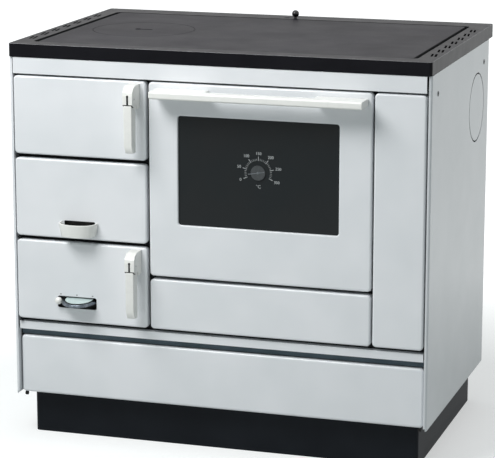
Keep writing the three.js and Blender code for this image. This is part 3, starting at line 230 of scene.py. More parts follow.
# Painted shade on the folded web behind the drawer gap: a dark blue-grey in place of the white enamel.
DRAWER_GAP_SHADE = finish(
    "painted blue-grey shade of the drawer gap", 0.5, 0.2, ("#46545c", "#54626b", blotches(50, 3.0)),
    (blotches(4, 1.0), 0.02, 0.3),
)
# Smoked oven glass, printed black behind: so dark that nothing shows through it.
SMOKED = finish(
    "smoked oven glass", 0.06, 0.1, ("#1f2426", "#242627", blotches(160)), (blotches(90, 0.0), 0.02, 0.2),
    ior=1.52,
)
# Clear heat-proof glass of the inner pane: faintly green, and the oven shows through it.
CLEAR = finish(
    "clear heat-proof glass", 0.03, 0.5, ("#dfeae6", "#e8efec", blotches(120)), ior=1.47,
    extra={"Transmission Weight": 0.85},
)
# Bare fireclay brick: sandy buff with darker grog a few millimetres across, quite rough.
FIRECLAY = finish(
    "bare fireclay", 0.95, 0.2, ("#93795a", "#bfa480", blotches(7, 5.0, 0.7), 0.35, 0.6),
    (blotches(3, 5.0, 0.7), 0.6, 0.8),
)
# Woven glass-fibre rope: dull grey-white strands that cross it slantwise every few millimetres.
STRANDS = (
    "ShaderNodeTexWave", "Fac", {"Scale": 1 / (9 * MM), "Distortion": 1.0, "Detail": 1.0},
    {"wave_type": "BANDS", "bands_direction": "DIAGONAL"},
)
ROPE = finish(
    "woven glass-fibre rope", 0.9, 0.2, ("#595854", "#8d8b84", STRANDS, 0.2, 0.8), (STRANDS, 0.6, 0.9),
)
# Moulded black rubber of the drawer's buffers: matt, with a bloom of grey.
RUBBER = finish(
    "moulded black rubber", 0.75, 0.25, ("#0e0e0e", "#191919", blotches(4, 3.0)),
    (blotches(0.8), 0.03, 0.5),
)
# Pale ceramic ink of the thermometer's scale, fired on the glass: matt, a little uneven.
SCALE_INK = finish("pale ceramic ink", 0.6, 0.3, ("#a9adaf", "#c6caca", blotches(2)))
# Grey ink of the three small marks over the air slot: matt and quiet on the white.
MARK_INK = finish("grey marking ink", 0.6, 0.3, ("#85898c", "#9a9ea0", blotches(2)))


# Shapes

def span(node):
    """A CAD node's ranges along x, y and z."""
    low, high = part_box(node)
    return [(low[i] / MM, high[i] / MM) for i in range(3)]


def middle(ends):
    """The middle of a range."""
    return (ends[0] + ends[1]) / 2


def inset(ends, by):
    """A range with both ends moved in."""
    return (ends[0] + by, ends[1] - by)


def around(centre, half):
    """The range that reaches half to both sides of a centre."""
    return (centre - half, centre + half)


def arc(start, sweep, steps):
    """Points of a unit circle, from a start angle over a sweep in degrees."""
    turns = [math.radians(start + sweep * i / steps) for i in range(steps + 1)]
    return [(math.cos(turn), math.sin(turn)) for turn in turns]


def circle(steps):
    """Points all round a unit circle, without the first one again."""
    return arc(0, 360, steps)[:-1]


def fold(radius):
    """How far in and how far short of the wall a rounded fold is, step by step from the wall to the face."""
    return [(radius * (1 - c), radius * (1 - s)) for c, s in arc(0, 90, FOLD_STEPS)]


def put(name, data):
    """A new object in the scene."""
    made = bpy.data.objects.new(name, data)
    scene.collection.objects.link(made)
    return made


def mesh_of(name, corners, faces, edges=()):
    """An object from corners; its place is in its mesh."""
    mesh = bpy.data.meshes.new(name)
    mesh.from_pydata([tuple(c * MM for c in corner) for corner in corners], edges, faces)
    mesh.validate()
    return put(name, mesh)


def mend(made, turn_out=True, flatten=False):
    """Merges doubled corners, turns the faces outwards, and makes each flat face one piece."""
    shape = bmesh.new()
    shape.from_mesh(made.data)
    bmesh.ops.remove_doubles(shape, verts=shape.verts, dist=MERGE * MM)
    if turn_out:
        bmesh.ops.recalc_face_normals(shape, faces=shape.faces)
    if flatten:
        bmesh.ops.dissolve_limit(shape, angle_limit=FLAT_WITHIN, verts=shape.verts, edges=shape.edges)
    shape.to_mesh(made.data)
    shape.free()
    return made


def evaluated(made):
    """The object's mesh with its modifiers done."""
    bpy.context.view_layer.update()
    return bpy.data.meshes.new_from_object(made.evaluated_get(bpy.context.evaluated_depsgraph_get()))


def settle(made):
    """Turns the object's modifiers into its mesh."""
    done = evaluated(made)
    made.modifiers.clear()
    made.data = done
    return made


def soften(made, radius, steps=3, method="ANGLE"):
    """Rounds the sharp edges, or each edge by its weight's share of the radius."""
    bevel = made.modifiers.new("rounding", "BEVEL")
    bevel.width = radius * MM
    bevel.segments = steps
    bevel.limit_method = method
    bevel.angle_limit = SMOOTH_BELOW
    return settle(made)


def shade(made, material, weigh=True):
    """Gives the finish and smooth shading that keeps flat faces flat."""
    mesh = made.data
    mesh.materials.clear()
    mesh.materials.append(material)
    mesh.shade_smooth()
    mesh.set_sharp_from_angle(angle=SMOOTH_BELOW)
    if weigh:
        weight = made.modifiers.new("flat faces", "WEIGHTED_NORMAL")
        weight.keep_sharp = True
        weight.weight = FLAT_WEIGHT
    return made


def paint(made, material, where):
    """Gives another finish to the faces whose middle and normal fit the rule."""
    made.data.materials.append(material)
    last = len(made.data.materials) - 1
    for face in made.data.polygons:
        if where(face.center / MM, face.normal):
            face.material_index = last
    return made


def take_away(made, *cutters):
    """Cuts the cutters out of the object, then deletes them."""
    for cutter in cutters:
        knife = made.modifiers.new("cut", "BOOLEAN")
        knife.operation = "DIFFERENCE"
        knife.solver = "EXACT"
        knife.object = cutter
        settle(made)
        bpy.data.objects.remove(cutter)
    return mend(made, False)


def join(name, parts):
    """One object from several."""
    shape = bmesh.new()
    for part in parts:
        shape.from_mesh(part.data)
        bpy.data.objects.remove(part)
    mesh = bpy.data.meshes.new(name)
    shape.to_mesh(mesh)
    shape.free()
    return put(name, mesh)


def rounded(first, second, radius, steps=CORNER_STEPS):
    """Corners of a rounded rectangle over two ranges, anticlockwise."""
    (left, right), (low, high) = inset(first, radius), inset(second, radius)
    points = []
    for a, b, start in ((right, low, -90), (right, high, 0), (left, high, 90), (left, low, 180)):
        points += [(a + radius * c, b + radius * s) for c, s in arc(start, 90, steps)]
    return points


def band(here, there, count):
    """Faces between two rings of corners, each given by its first corner's number."""
    return [(here + j, here + (j + 1) % count, there + (j + 1) % count, there + j) for j in range(count)]


def skin(name, rings, closed=False):
    """A skin over rings of equal length; open ends are capped, or the last ring meets the first."""
    count = len(rings[0])
    last = (len(rings) - 1) * count
    faces = []
    for here in range(0, last, count):
        faces += band(here, here + count, count)
    if closed:
        faces += band(last, 0, count)
    else:
        faces += [tuple(range(count))[::-1], tuple(range(last, last + count))]
    return mend(mesh_of(name, [corner for ring in rings for corner in ring], faces))


def block(name, x, z, y, radius):
    """A rounded block seen from the front, from y[0] back to y[1]."""
    return skin(name, [[(a, depth, b) for a, b in rounded(x, z, radius)] for depth in y])


def slab(name, x, y, z, radius):
    """A rounded block seen from above."""
    return skin(name, [[(a, b, level) for a, b in rounded(x, y, radius)] for level in z])


def turned(name, profile, steps=ROUND):
    """A solid turned about the z axis from (radius, height) pairs, the first and last on the axis."""
    corners = [(0, 0, profile[0][1])]
    for radius, height in profile[1:-1]:
        corners += [(radius * c, radius * s, height) for c, s in circle(steps)]
    corners.append((0, 0, profile[-1][1]))
    last = 1 + (len(profile) - 3) * steps
    faces = []
    for here in range(1, last, steps):
        faces += band(here, here + steps, steps)
    for j in range(steps):
        k = (j + 1) % steps
        faces += [(0, 1 + k, 1 + j), (last + j, last + k, len(corners) - 1)]
    return mend(mesh_of(name, corners, faces))


def set_down(made, place, tilt=None):
    """Turns a shape made about the z axis by a matrix, and moves it, in its mesh."""
    made.data.transform(Matrix.Translation(Vector(place) * MM) @ (tilt or Matrix()).to_4x4())
    return made


def round_cutter(name, radius, ends, place, tilt=None, steps=ROUND):
    """A plain round cutter over a range of its axis."""
    profile = [(0, ends[0]), (radius, ends[0]), (radius, ends[1]), (0, ends[1])]
    return set_down(turned(name, profile, steps), place, tilt)


def sphere(name, place, radius, steps=48):
    """A ball."""
    round_side = [(radius * c, radius * s) for c, s in arc(-90, 180, steps // 2)[1:-1]]
    return set_down(turned(name, [(0, -radius), *round_side, (0, radius)], steps), place)


ALONG_X = Matrix.Rotation(math.radians(90), 3, "Y")
ALONG_Y = Matrix.Rotation(math.radians(-90), 3, "X")
ALONG_Y_FRONT = Matrix.Rotation(math.radians(90), 3, "X")


def rounded_copy(name, node, rule, steps=3):
    """A copy of a CAD node with rounded edges: one radius, or a rule for an edge's middle and direction."""
    made = mend(put(name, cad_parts[node].data.copy()), turn_out=False, flatten=True)
    radii = {}
    shape = bmesh.new()
    shape.from_mesh(made.data)
    for edge in shape.edges:
        if len(edge.link_faces) == 2 and edge.calc_face_angle(0) > SMOOTH_BELOW:
            start, end = edge.verts[0].co / MM, edge.verts[1].co / MM
            way = (end - start).normalized()
            radii[edge.index] = rule((start + end) / 2, way) if callable(rule) else rule
    shape.free()
    widest = max(radii.values())
    weights = made.data.attributes.new("bevel_weight_edge", "FLOAT", "EDGE")
    for index, radius in radii.items():
        weights.data[index].value = radius / widest
    return soften(made, widest, steps, "WEIGHT")


def pressed_pan(name, node, radius=4.5):
    """A pan pressed from sheet: flat face, rounded fold all round, walls back to the open rear."""
    x, y, z = span(node)
    outer = [(0, y[1])] + [(by, y[0] + short) for by, short in fold(radius)]
    inner = [(PAN_SHEET + by, y[0] + PAN_SHEET + short) for by, short in fold(radius - PAN_SHEET)]
    rings = [
        [(a, depth, b) for a, b in rounded(inset(x, by), inset(z, by), max(PAN_CORNER - by, PAN_SHEET))]
        for by, depth in inner[::-1] + [(PAN_SHEET, y[1])] + outer
    ]
    return skin(name, rings)


def hand_over(made, body, slot, *replaced):
    """The piece rides on its body and stands for CAD nodes, which it hides; the slot is not used."""
    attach(made, body)
    if replaced:
        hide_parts(*replaced)


# Geometry Nodes: marks round an arc, bars of a rack, and a wire along a loop

def new_tree(name, sizes):
    """A geometry tree with named sizes; returns the tree, its sockets, its way out and its identifiers."""
    tree = bpy.data.node_groups.new(name, "GeometryNodeTree")
    for way in ("INPUT", "OUTPUT"):
        tree.interface.new_socket("Geometry", in_out=way, socket_type="NodeSocketGeometry")
    known = {}
    for label in sizes:
        kind = "NodeSocketInt" if label in ("Count", "Sides") else "NodeSocketFloat"
        known[label] = tree.interface.new_socket(label, in_out="INPUT", socket_type=kind).identifier
    entry = tree.nodes.new("NodeGroupInput")
    leave = tree.nodes.new("NodeGroupOutput")
    return tree, {s.name: s for s in entry.outputs}, leave.inputs["Geometry"], known


def finish_tree(tree, geometry, material, leave):
    """Realises what the tree made and gives it its finish."""
    real = add_node(tree, "GeometryNodeRealizeInstances", {"Geometry": geometry}).outputs["Geometry"]
    painted = add_node(tree, "GeometryNodeSetMaterial", {"Geometry": real, "Material": material})
    tree.links.new(painted.outputs["Geometry"], leave)


def grow(name, tree, known, values, source=None):
    """Runs a geometry tree on an object, turns the result into a plain mesh and drops the modifier."""
    made = source or mesh_of(name, [(0, 0, 0)], [])
    work = made.modifiers.new("work", "NODES")
    work.node_group = tree
    for label, value in values.items():
        work[known[label]] = value
    result = evaluated(made)
    bpy.data.objects.remove(made)
    return put(name, result)


def mark_ring_tree():
    """Thin marks set round an arc in the x-z plane, from a first angle in equal steps."""
    sizes = ("Count", "First", "Step", "Radius", "Length", "Width", "Sheet")
    tree, given, leave, known = new_tree("marks round an arc", sizes)
    size = {"X": given["Length"], "Y": given["Sheet"], "Z": given["Width"]}
    size = add_node(tree, "ShaderNodeCombineXYZ", size).outputs["Vector"]
    mark = add_node(tree, "GeometryNodeMeshCube", {"Size": size}).outputs["Mesh"]
    points = add_node(tree, "GeometryNodePoints", {"Count": given["Count"]}).outputs[0]
    number = add_node(tree, "GeometryNodeInputIndex").outputs["Index"]

    def worked(operation, *terms):
        return add_node(tree, "ShaderNodeMath", dict(enumerate(terms)), operation=operation).outputs["Value"]

    angle = worked("MULTIPLY_ADD", number, given["Step"], given["First"])
    way = {"X": worked("COSINE", angle), "Z": worked("SINE", angle)}
    way = add_node(tree, "ShaderNodeCombineXYZ", way).outputs["Vector"]
    spot = add_node(tree, "ShaderNodeVectorMath", {0: way, "Scale": given["Radius"]}, operation="SCALE")
    spots = {"Geometry": points, "Position": spot.outputs["Vector"]}
    placed = add_node(tree, "GeometryNodeSetPosition", spots).outputs["Geometry"]
    lean = add_node(tree, "ShaderNodeCombineXYZ", {"Y": worked("MULTIPLY", angle, -1.0)}).outputs["Vector"]
    copies = {"Points": placed, "Instance": mark, "Rotation": lean}
    copies = add_node(tree, "GeometryNodeInstanceOnPoints", copies).outputs["Instances"]
    finish_tree(tree, copies, SCALE_INK, leave)
    return tree, known


def bar_row_tree():
    """Round bars along y, side by side in equal steps along x."""
    tree, given, leave, known = new_tree("bars side by side", ("Count", "Pitch", "Radius", "Length"))
    bar = {"Vertices": 16, "Radius": given["Radius"], "Depth": given["Length"]}
    bar = add_node(tree, "GeometryNodeMeshCylinder", bar).outputs["Mesh"]
    step = add_node(tree, "ShaderNodeCombineXYZ", {"X": given["Pitch"]}).outputs["Vector"]
    row = add_node(tree, "GeometryNodeMeshLine", {"Count": given["Count"], "Offset": step}, mode="OFFSET")
    copies = {"Points": row.outputs["Mesh"], "Instance": bar, "Rotation": (math.pi / 2, 0.0, 0.0)}
    copies = add_node(tree, "GeometryNodeInstanceOnPoints", copies).outputs["Instances"]
    finish_tree(tree, copies, ZINC, leave)
    return tree, known


def loop_tree():
    """A round wire along the edges of a closed loop."""
    tree, given, leave, known = new_tree("wire along a loop", ("Radius", "Sides"))
    path = add_node(tree, "GeometryNodeMeshToCurve", {"Mesh": given["Geometry"]}).outputs["Curve"]
    section = {"Resolution": given["Sides"], "Radius": given["Radius"]}
    section = add_node(tree, "GeometryNodeCurvePrimitiveCircle", section).outputs["Curve"]
    tube = {"Curve": path, "Profile Curve": section}
    tube = add_node(tree, "GeometryNodeCurveToMesh", tube).outputs["Mesh"]
    finish_tree(tree, tube, ZINC, leave)
    return tree, known


# Camera, lamps and floor; the camera and the lamps stand in metres and the angles are in degrees

VIEW_AZIMUTH = 17.51
VIEW_ELEVATION = 12.79
VIEW_PLACE = (1.4264, -4.5709, 1.5128)
SENSOR = 36.0
FOCAL_PIXELS = 2263.7
PHOTO_WIDTH = 495

camera_data = bpy.data.cameras.new("camera")
camera_data.sensor_width = SENSOR
camera_data.lens = SENSOR * FOCAL_PIXELS / PHOTO_WIDTH
camera = put("camera", camera_data)
camera.location = VIEW_PLACE
camera.rotation_euler = (math.radians(90 - VIEW_ELEVATION), 0, math.radians(VIEW_AZIMUTH))
scene.camera = camera


def lamp(name, place, aim, size, watts):
    """A soft square lamp, aimed at a point."""
    data = bpy.data.lights.new(name, "AREA")
    data.shape = "RECTANGLE"
    data.size, data.size_y = size
    data.energy = watts
    made = put(name, data)
    made.location = place
    made.rotation_euler = (Vector(aim) - Vector(place)).to_track_quat("-Z", "Y").to_euler()


lamp("key lamp", (-0.9, -1.55, 2.4), (0, 0, 0.75), (1.4, 1.0), 54)
lamp("side lamp", (2.6, -0.6, 2.0), (0.4, 0, 0.5), (1.5, 1.5), 2)
lamp("top lamp", (0.2, 0.3, 2.9), (0, 0, 0.8), (2.0, 1.4), 12)


def seen_by(tree, *rays):
    """One where any of the named rays looks, and nought elsewhere."""
    path = add_node(tree, "ShaderNodeLightPath")
    seen = path.outputs[rays[0]]
    for ray in rays[1:]:
        either = {0: seen, 1: path.outputs[ray]}
        seen = add_node(tree, "ShaderNodeMath", either, operation="MAXIMUM").outputs["Value"]
    return seen


def studio_world():
    """Even grey light for the surfaces, with white where the camera, gloss and glass see the backdrop."""
    world = bpy.data.worlds.new("studio")
    world.use_nodes = True
    tree = world.node_tree
    seen = seen_by(tree, "Is Camera Ray", "Is Glossy Ray", "Is Transmission Ray")
    soft = add_node(tree, "ShaderNodeBackground", {"Color": linear("#effcfd"), "Strength": 0.26})
    white = add_node(tree, "ShaderNodeBackground", {"Color": (1.0, 1.0, 1.0, 1.0), "Strength": 1.0})
    both = {0: seen, 1: soft.outputs["Background"], 2: white.outputs["Background"]}
    mixed = add_node(tree, "ShaderNodeMixShader", both)
    tree.links.new(mixed.outputs["Shader"], tree.nodes["World Output"].inputs["Surface"])
    scene.world = world


def pale_floor():
    """A plain pale floor that keeps the object's shadow and is white to the camera further out."""
    reach = 9000
    corners = [(-reach, -reach, 0), (reach, -reach, 0), (reach, reach, 0), (-reach, reach, 0)]
    floor = mesh_of("floor", corners, [(0, 1, 2, 3)])
    material = bpy.data.materials.new("pale floor")
    material.use_nodes = True
    tree = material.node_tree
    shader = tree.nodes["Principled BSDF"]
    shader.inputs["Base Color"].default_value = linear("#c9cccc")
    shader.inputs["Roughness"].default_value = 0.9
    shader.inputs["Specular IOR Level"].default_value = 0.1
    seen = seen_by(tree, "Is Camera Ray", "Is Glossy Ray")
    place = add_node(tree, "ShaderNodeTexCoord").outputs["Object"]
    away = add_node(tree, "ShaderNodeVectorMath", {0: place}, operation="LENGTH").outputs["Value"]
    # The glow grows from 0.7 m off the object's middle to 1.6 m, where the floor is white.
    rise = {"Value": away, "From Min": 0.7, "From Max": 1.6, "To Min": 0.5, "To Max": 1.0}
    glow = add_node(tree, "ShaderNodeMapRange", rise).outputs["Result"]
    lift = add_node(tree, "ShaderNodeMath", {0: seen, 1: glow}, operation="MULTIPLY")
    shader.inputs["Emission Color"].default_value = (1.0, 1.0, 1.0, 1.0)
    tree.links.new(lift.outputs["Value"], shader.inputs["Emission Strength"])
    floor.data.materials.append(material)


studio_world()
pale_floor()
scene.view_settings.view_transform = "Standard"


# Hob

CUT_EDGE = 0.35
OVERSHOOT = 9


def hob():
    """The folded hob frame, the cast plate with the lid's pocket, and the round lid."""
    frame_x, frame_y, frame_z = span("hob_frame")
    outer_band, near = 8, 0.5
    top_fold, lower_edge = 2.2, 0.5
    highlight_band, highlight_low = 3, 0.3

    def from_edge(point):
        return min(point.x - frame_x[0], frame_x[1] - point.x, point.y - frame_y[0], frame_y[1] - point.y)

    def rim_rule(point, way):
        if from_edge(point) < outer_band and point.z > frame_z[1] - near:
            return top_fold
        return lower_edge if from_edge(point) < outer_band and point.z < frame_z[0] + near else CUT_EDGE

    rim = shade(rounded_copy("hob_rim", "hob_frame", rim_rule), BLACK)
    paint(rim, BLACK_TOP, lambda point, way: way.z > LEVEL)
    # Painted highlight: a lighter grey band along the top edge's rounding.
    paint(rim, EDGE_HIGHLIGHT_PAINT, lambda point, way: from_edge(point) < highlight_band and highlight_low < way.z < LEVEL)
    paint(rim, STOVE_BLACK_AND_PAINTED_SHADE, lambda point, way: from_edge(point) > outer_band and abs(way.z) < AWAY)
    hand_over(rim, "root", "black_enamel", "hob_frame")

    x, y, z = span("hob_plate")
    lid_x, lid_y, lid_z = span("hob_lid")
    lid_place = (middle(lid_x), middle(lid_y), 0)
    lid_radius = (lid_x[1] - lid_x[0]) / 2
    lid_gap, ledge, plate_corner, plate_edge = 0.7, 8, 8, 0.9
    plate = slab("cast_hob_plate", x, y, z, plate_corner)
    pocket = round_cutter("pocket", lid_radius + lid_gap, (lid_z[0] - SEAT, z[1] + OVERSHOOT), lid_place)
    well = round_cutter("well", lid_radius - ledge, inset(z, -OVERSHOOT), lid_place)
    plate = shade(soften(take_away(plate, pocket, well), plate_edge), HOB_IRON)
    (left, right), (fore, rear) = inset(x, 1.2), inset(y, 1.2)
    # Painted shade: the plate's outer side faces are matt black, which darkens the gap round the plate.
    paint(plate, STOVE_BLACK_AND_PAINTED_SHADE, lambda point, way: abs(way.z) < AWAY and not (
        left < point.x < right and fore < point.y < rear
    ))
    hand_over(plate, "root", "cast_iron", "hob_plate")

    bottom, top = lid_z
    edge = 0.8
    profile = [(0, bottom), (lid_radius - edge, bottom), (lid_radius, bottom + edge)]
    profile += [(lid_radius, top - edge), (lid_radius - edge / 3, top - edge / 3), (lid_radius - edge, top)]
    lid = set_down(turned("round_hob_lid", profile + [(0, top)], FINE_ROUND), lid_place)
    slot_half, slot_radius, eye_radius = 20.0, 3.5, 7.5
    depth = (top - 4, top + 5)
    slot_x, slot_y = around(lid_place[0], slot_half), around(lid_place[1], slot_radius)
    groove = slab("lifter groove", slot_x, slot_y, depth, slot_radius - MERGE)
    eye = round_cutter("lifter eye", eye_radius, depth, (slot_x[0] + eye_radius, lid_place[1], 0), steps=32)
    hand_over(shade(take_away(lid, groove, eye), HOB_IRON), "hob_lid", "cast_iron", "hob_lid")


def damper():
    """The damper's ball knob on its neck."""
    x, y, z = span("damper_knob")
    radius = (x[1] - x[0]) / 2
    ball_height = z[1] - radius
    foot, neck = 3.4, 3.0
    profile = [(0, z[0]), (foot, z[0]), (foot, z[0] + 0.4), (neck, ball_height - radius + 1.2)]
    for c, s in arc(-90, 180, 24)[2:]:
        if radius * c > neck + 0.1 or s > 0:
            profile.append((max(radius * c, 0.0), ball_height + radius * s))
    knob = set_down(turned("damper_ball_knob", profile, 48), (middle(x), middle(y), 0))
    hand_over(shade(knob, KNOB_BLACK_AND_GAP_SHADE, False), "damper", "black_plastic", "damper_knob")


# Enamelled casing

PAN_SHEET = 1.6
PAN_CORNER = 8


def casing():
    """The plain fronts, rails, sides, flue cap, side screws and plinth."""
    for name, node in (("column_front", "column_panel"), ("soot_cover_front", "soot_cover")):
        hand_over(shade(pressed_pan(name, node), WHITE), "root", "white_enamel", node)

    rail_fold, rail_edge, web_behind = 1.4, 0.3, 10
    for name, node in (("hob_rail", "top_rail"), ("drawer_trim", "trim_rail")):
        front = span(node)[1][0]
        rail = shade(rounded_copy(name, node, lambda point, way: (
            rail_fold if point.y < front + 0.4 and abs(way.x) > SIDEWAYS else rail_edge
        )), WHITE)
        if node == "trim_rail":
            # Painted shade: the web behind the drawer gap takes a dark blue-grey.
            paint(rail, DRAWER_GAP_SHADE, lambda point, way: point.y > front + web_behind and way.y < -0.25)
        hand_over(rail, "root", "white_enamel", node)

    hem_shade_band = 1.7
    for name, node in (("left_side", "side_panel_left"), ("right_side", "side_panel_right")):
        top = span(node)[2][1]
        side = shade(rounded_copy(name, node, CUT_EDGE), SIDE_WHITE)
        # Painted shade: the side panel's top hem, seen through the hob's vents, is matt black.
        paint(side, STOVE_BLACK_AND_PAINTED_SHADE, lambda point, way: point.z > top - hem_shade_band)
        hand_over(side, "root", "white_enamel", node)

    (back, face), y, z = span("side_flue_cap")
    rim_radius = (y[1] - y[0]) / 2
    rim_width, ring_width, sheet = 8, 3.0, 1.3
    disc = rim_radius - rim_width - ring_width
    profile = [(0, back), (rim_radius, back), (rim_radius, back + sheet), (disc, back + sheet)]
    profile += [(disc, face - 0.7), (disc - 0.25, face - 0.2), (disc - 0.8, face), (0, face)]
    cap = set_down(turned("flue_outlet_cap", profile, FINE_ROUND), (0, middle(y), middle(z)), ALONG_X)
    # Painted shade: the cap's rim behind the panel is matt black, so the ring round the disc reads dark.
    paint(shade(cap, SIDE_WHITE), STOVE_BLACK_AND_PAINTED_SHADE, lambda point, way: (
        math.hypot(point.y - middle(y), point.z - middle(z)) > disc - 0.2 and point.x < face - 0.3
    ))
    hand_over(cap, "root", "white_enamel", "side_flue_cap")

    shank, flange, crown = 2, 1, 1.4
    slot_width, slot_length = 1.2, 6.4
    for place in ("front", "rear"):
        x, y, z = span(f"side_screw_{place}")
        head = (y[1] - y[0]) / 2
        profile = [(0, x[0]), (shank, x[0]), (shank, x[1] - flange), (head, x[1] - flange), (head, x[1])]
        profile += [(head * c, x[1] + crown * s) for c, s in arc(0, 90, 8)[1:-1]] + [(0, x[1] + crown)]
        screw = set_down(turned(f"{place}_side_screw", profile, 40), (0, middle(y), middle(z)), ALONG_X)
        for wide, high in ((slot_width, slot_length), (slot_length, slot_width)):
            rise, width = around(middle(z), high / 2), around(middle(y), wide / 2)
            screw = take_away(screw, block("driver slot", (x[1] + 0.4, x[1] + 3), rise, width, 0.1))
        # The screws' blue-black is painted shade of their dimples.
        hand_over(shade(screw, SCREW_DARKENED_AS_SHADE), "root", "zinc_steel", f"side_screw_{place}")

    foot_edge, plinth_edge = 0.8, 0.3
    plinth = rounded_copy("plinth_case", "plinth", lambda point, way: (
        foot_edge if point.z < 1 and way.z < AWAY else plinth_edge
    ))
    hand_over(shade(plinth, PLINTH), "root", "black_enamel", "plinth")


# Handles

PIN_BELOW_TOP = 7


def lever(door):
    """The lever handle of a door: fixed head, steel arm and the grip below."""
    arm_x, _, arm_z = span(f"{door}_latch_arm")
    front = span(f"{door}_handle_head")[1][0]
    grip_back = span(f"{door}_lever_grip")[1][1]
    pin_stand, hole_over_pin = 32.0, 7
    pin_x, pin_z = middle(arm_x), arm_z[1] - PIN_BELOW_TOP
    pin_y = span(f"{door}_panel")[1][0] - pin_stand
    hole_z = pin_z + hole_over_pin
    hole_radius, hole_depth, slit_half, below_pin = 2.5, 3.5, 2.3, 6
    head_hollow, grip_hollow = 16.4, 17.6

    def reach(point):
        return math.hypot(point.y - pin_y, point.z - pin_z)

    def in_hole(point, way):
        close = math.hypot(point.x - pin_x, point.z - hole_z) < hole_radius + 0.1
        return close and (abs(way.y) < AWAY or point.y > front + hole_depth - 0.5)

    def in_slit(point, way):
        return abs(point.x - pin_x) < slit_half and abs(way.x) > SIDEWAYS

    def in_joint(point, way):
        return point.z < pin_z - below_pin and abs(reach(point) - head_hollow) < 0.3 and abs(way.x) < AWAY

    head = rounded_copy(f"{door}_lever_head", f"{door}_handle_head", 1.6)
    bit = round_cutter("bit", hole_radius, (-6, hole_depth), (pin_x, front, hole_z), ALONG_Y, 32)
    head = shade(take_away(head, bit), IVORY)
    # Painted shade: the pin hole, the slit and the head's underside over the grip are black.
    paint(head, KNOB_BLACK_AND_GAP_SHADE, lambda point, way: in_hole(point, way) or in_slit(point, way) or in_joint(point, way))
    hand_over(head, door, "ivory_plastic", f"{door}_handle_head")

    long_edge, end_edge = 2.6, 1.2
    grip = shade(rounded_copy(f"{door}_pull_grip", f"{door}_lever_grip", lambda point, way: (
        long_edge if abs(way.x) < AWAY and point.y < grip_back + 1 else end_edge
    ), 4), IVORY)
    # Painted shade: the grip's faces round the pin, in the joint under the head, are black.
    paint(grip, KNOB_BLACK_AND_GAP_SHADE, lambda point, way: reach(point) < grip_hollow and abs(way.x) < AWAY)
    hand_over(grip, f"{door}_lever", "ivory_plastic", f"{door}_lever_grip")
    arm = rounded_copy(f"{door}_catch_arm", f"{door}_latch_arm", 0.4, 2)
    hand_over(shade(arm, ZINC), f"{door}_lever", "zinc_steel", f"{door}_latch_arm")


def pulls():
    """The finger cup of the grate door, drawn in towards its foot, and the oven door's bar handle."""
    x, y, z = span("cup_pull")
    taper_x, taper_y, power = 0.13, 0.12, 3
    pull = rounded_copy("finger_cup", "cup_pull", 1.1)
    for corner in pull.data.vertices:
        down = min(max((z[1] - corner.co.z / MM) / (z[1] - z[0]), 0.0), 1.0) ** power
        corner.co.x = middle(x) * MM + (corner.co.x - middle(x) * MM) * (1 - taper_x * down)
        corner.co.y = y[1] * MM + (corner.co.y - y[1] * MM) * (1 - taper_y * down)
    hand_over(shade(pull, IVORY), "grate_door", "ivory_plastic", "cup_pull")
    bar = rounded_copy("oven_bar", "oven_door_handle", 1.8, 4)
    hand_over(shade(bar, IVORY), "oven_door", "ivory_plastic", "oven_door_handle")


# Doors and drawer

DIAL_TILT = Matrix.Rotation(math.radians(6), 3, "X")
DIAL_INSET = 140.0
DIAL_RISE = 50.0
DRAWER_FOLD = 5.5


def dial_place():
    """Where the dial's pin leaves the ash door's face."""
    x, y, z = span("ash_door_panel")
    return (x[0] + DIAL_INSET, y[0], z[0] + DIAL_RISE)


def through(node):
    """The depth of a cutter that passes the face of a pan."""
    face = span(node)[1][0]
    before, behind = 5, 4
    return (face - before, face + behind)


def arm_slot(door):
    """The cutter of the slot that a door's catch arm comes through."""
    arm_x, _, arm_z = span(f"{door}_latch_arm")
    pin = arm_z[1] - PIN_BELOW_TOP
    half_width, below, above, corner = 2.4, 20, 4, 0.5
    slot_x, slot_z = around(middle(arm_x), half_width), (pin - below, pin + above)
    return block("arm slot", slot_x, slot_z, through(f"{door}_panel"), corner)


def door_front(door, *cutters):
    """A door's pressed and enamelled front with its openings."""
    pan = take_away(pressed_pan(f"{door}_front", f"{door}_panel"), *cutters)
    hand_over(shade(pan, WHITE), door, "white_enamel", f"{door}_panel")


def doors():
    """The three fronts on the fuel side, the marks over the air slot, and the drawer's front."""
    door_front("fire_door", arm_slot("fire_door"))
    cup_x, _, cup_z = span("cup_pull")
    air_slot = (inset(cup_x, 7), (cup_z[0] + 7, cup_z[1] + 1.5))
    door_front("grate_door", block("air slot", *air_slot, through("grate_door_panel"), 3))

    dial_x, face, dial_z = dial_place()
    foot = dial_z - DIAL_RISE
    slot_shift, slot_width, slot_rise, slot_height, slot_corner = 5.0, 87.5, 30.0, 25.5, 4
    slot_x = around(dial_x - slot_shift, slot_width / 2)
    slot_z = (foot + slot_rise, foot + slot_rise + slot_height)
    dial_slot = block("dial slot", slot_x, slot_z, through("ash_door_panel"), slot_corner)
    dial_room = round_cutter("room", 38.5, (-6, 3), (dial_x, face, dial_z), DIAL_TILT)
    door_front("ash_door", dial_slot, arm_slot("ash_door"), dial_room)

    mark_places, mark_half, mark_z = (-41.5, -5.5, 30), 1.6, (foot + 58.2, foot + 60.6)
    mark_y = (face - 0.06, face + 0.2)
    marks = [block("mark", around(dial_x + off, mark_half), mark_z, mark_y, 0.2) for off in mark_places]
    hand_over(shade(join("air_slot_marks", marks), MARK_INK, False), "ash_door", "zinc_steel")

    drawer = pressed_pan("drawer_front", "fuel_drawer_front", DRAWER_FOLD)
    hand_over(shade(drawer, WHITE), "fuel_drawer", "white_enamel", "fuel_drawer_front")


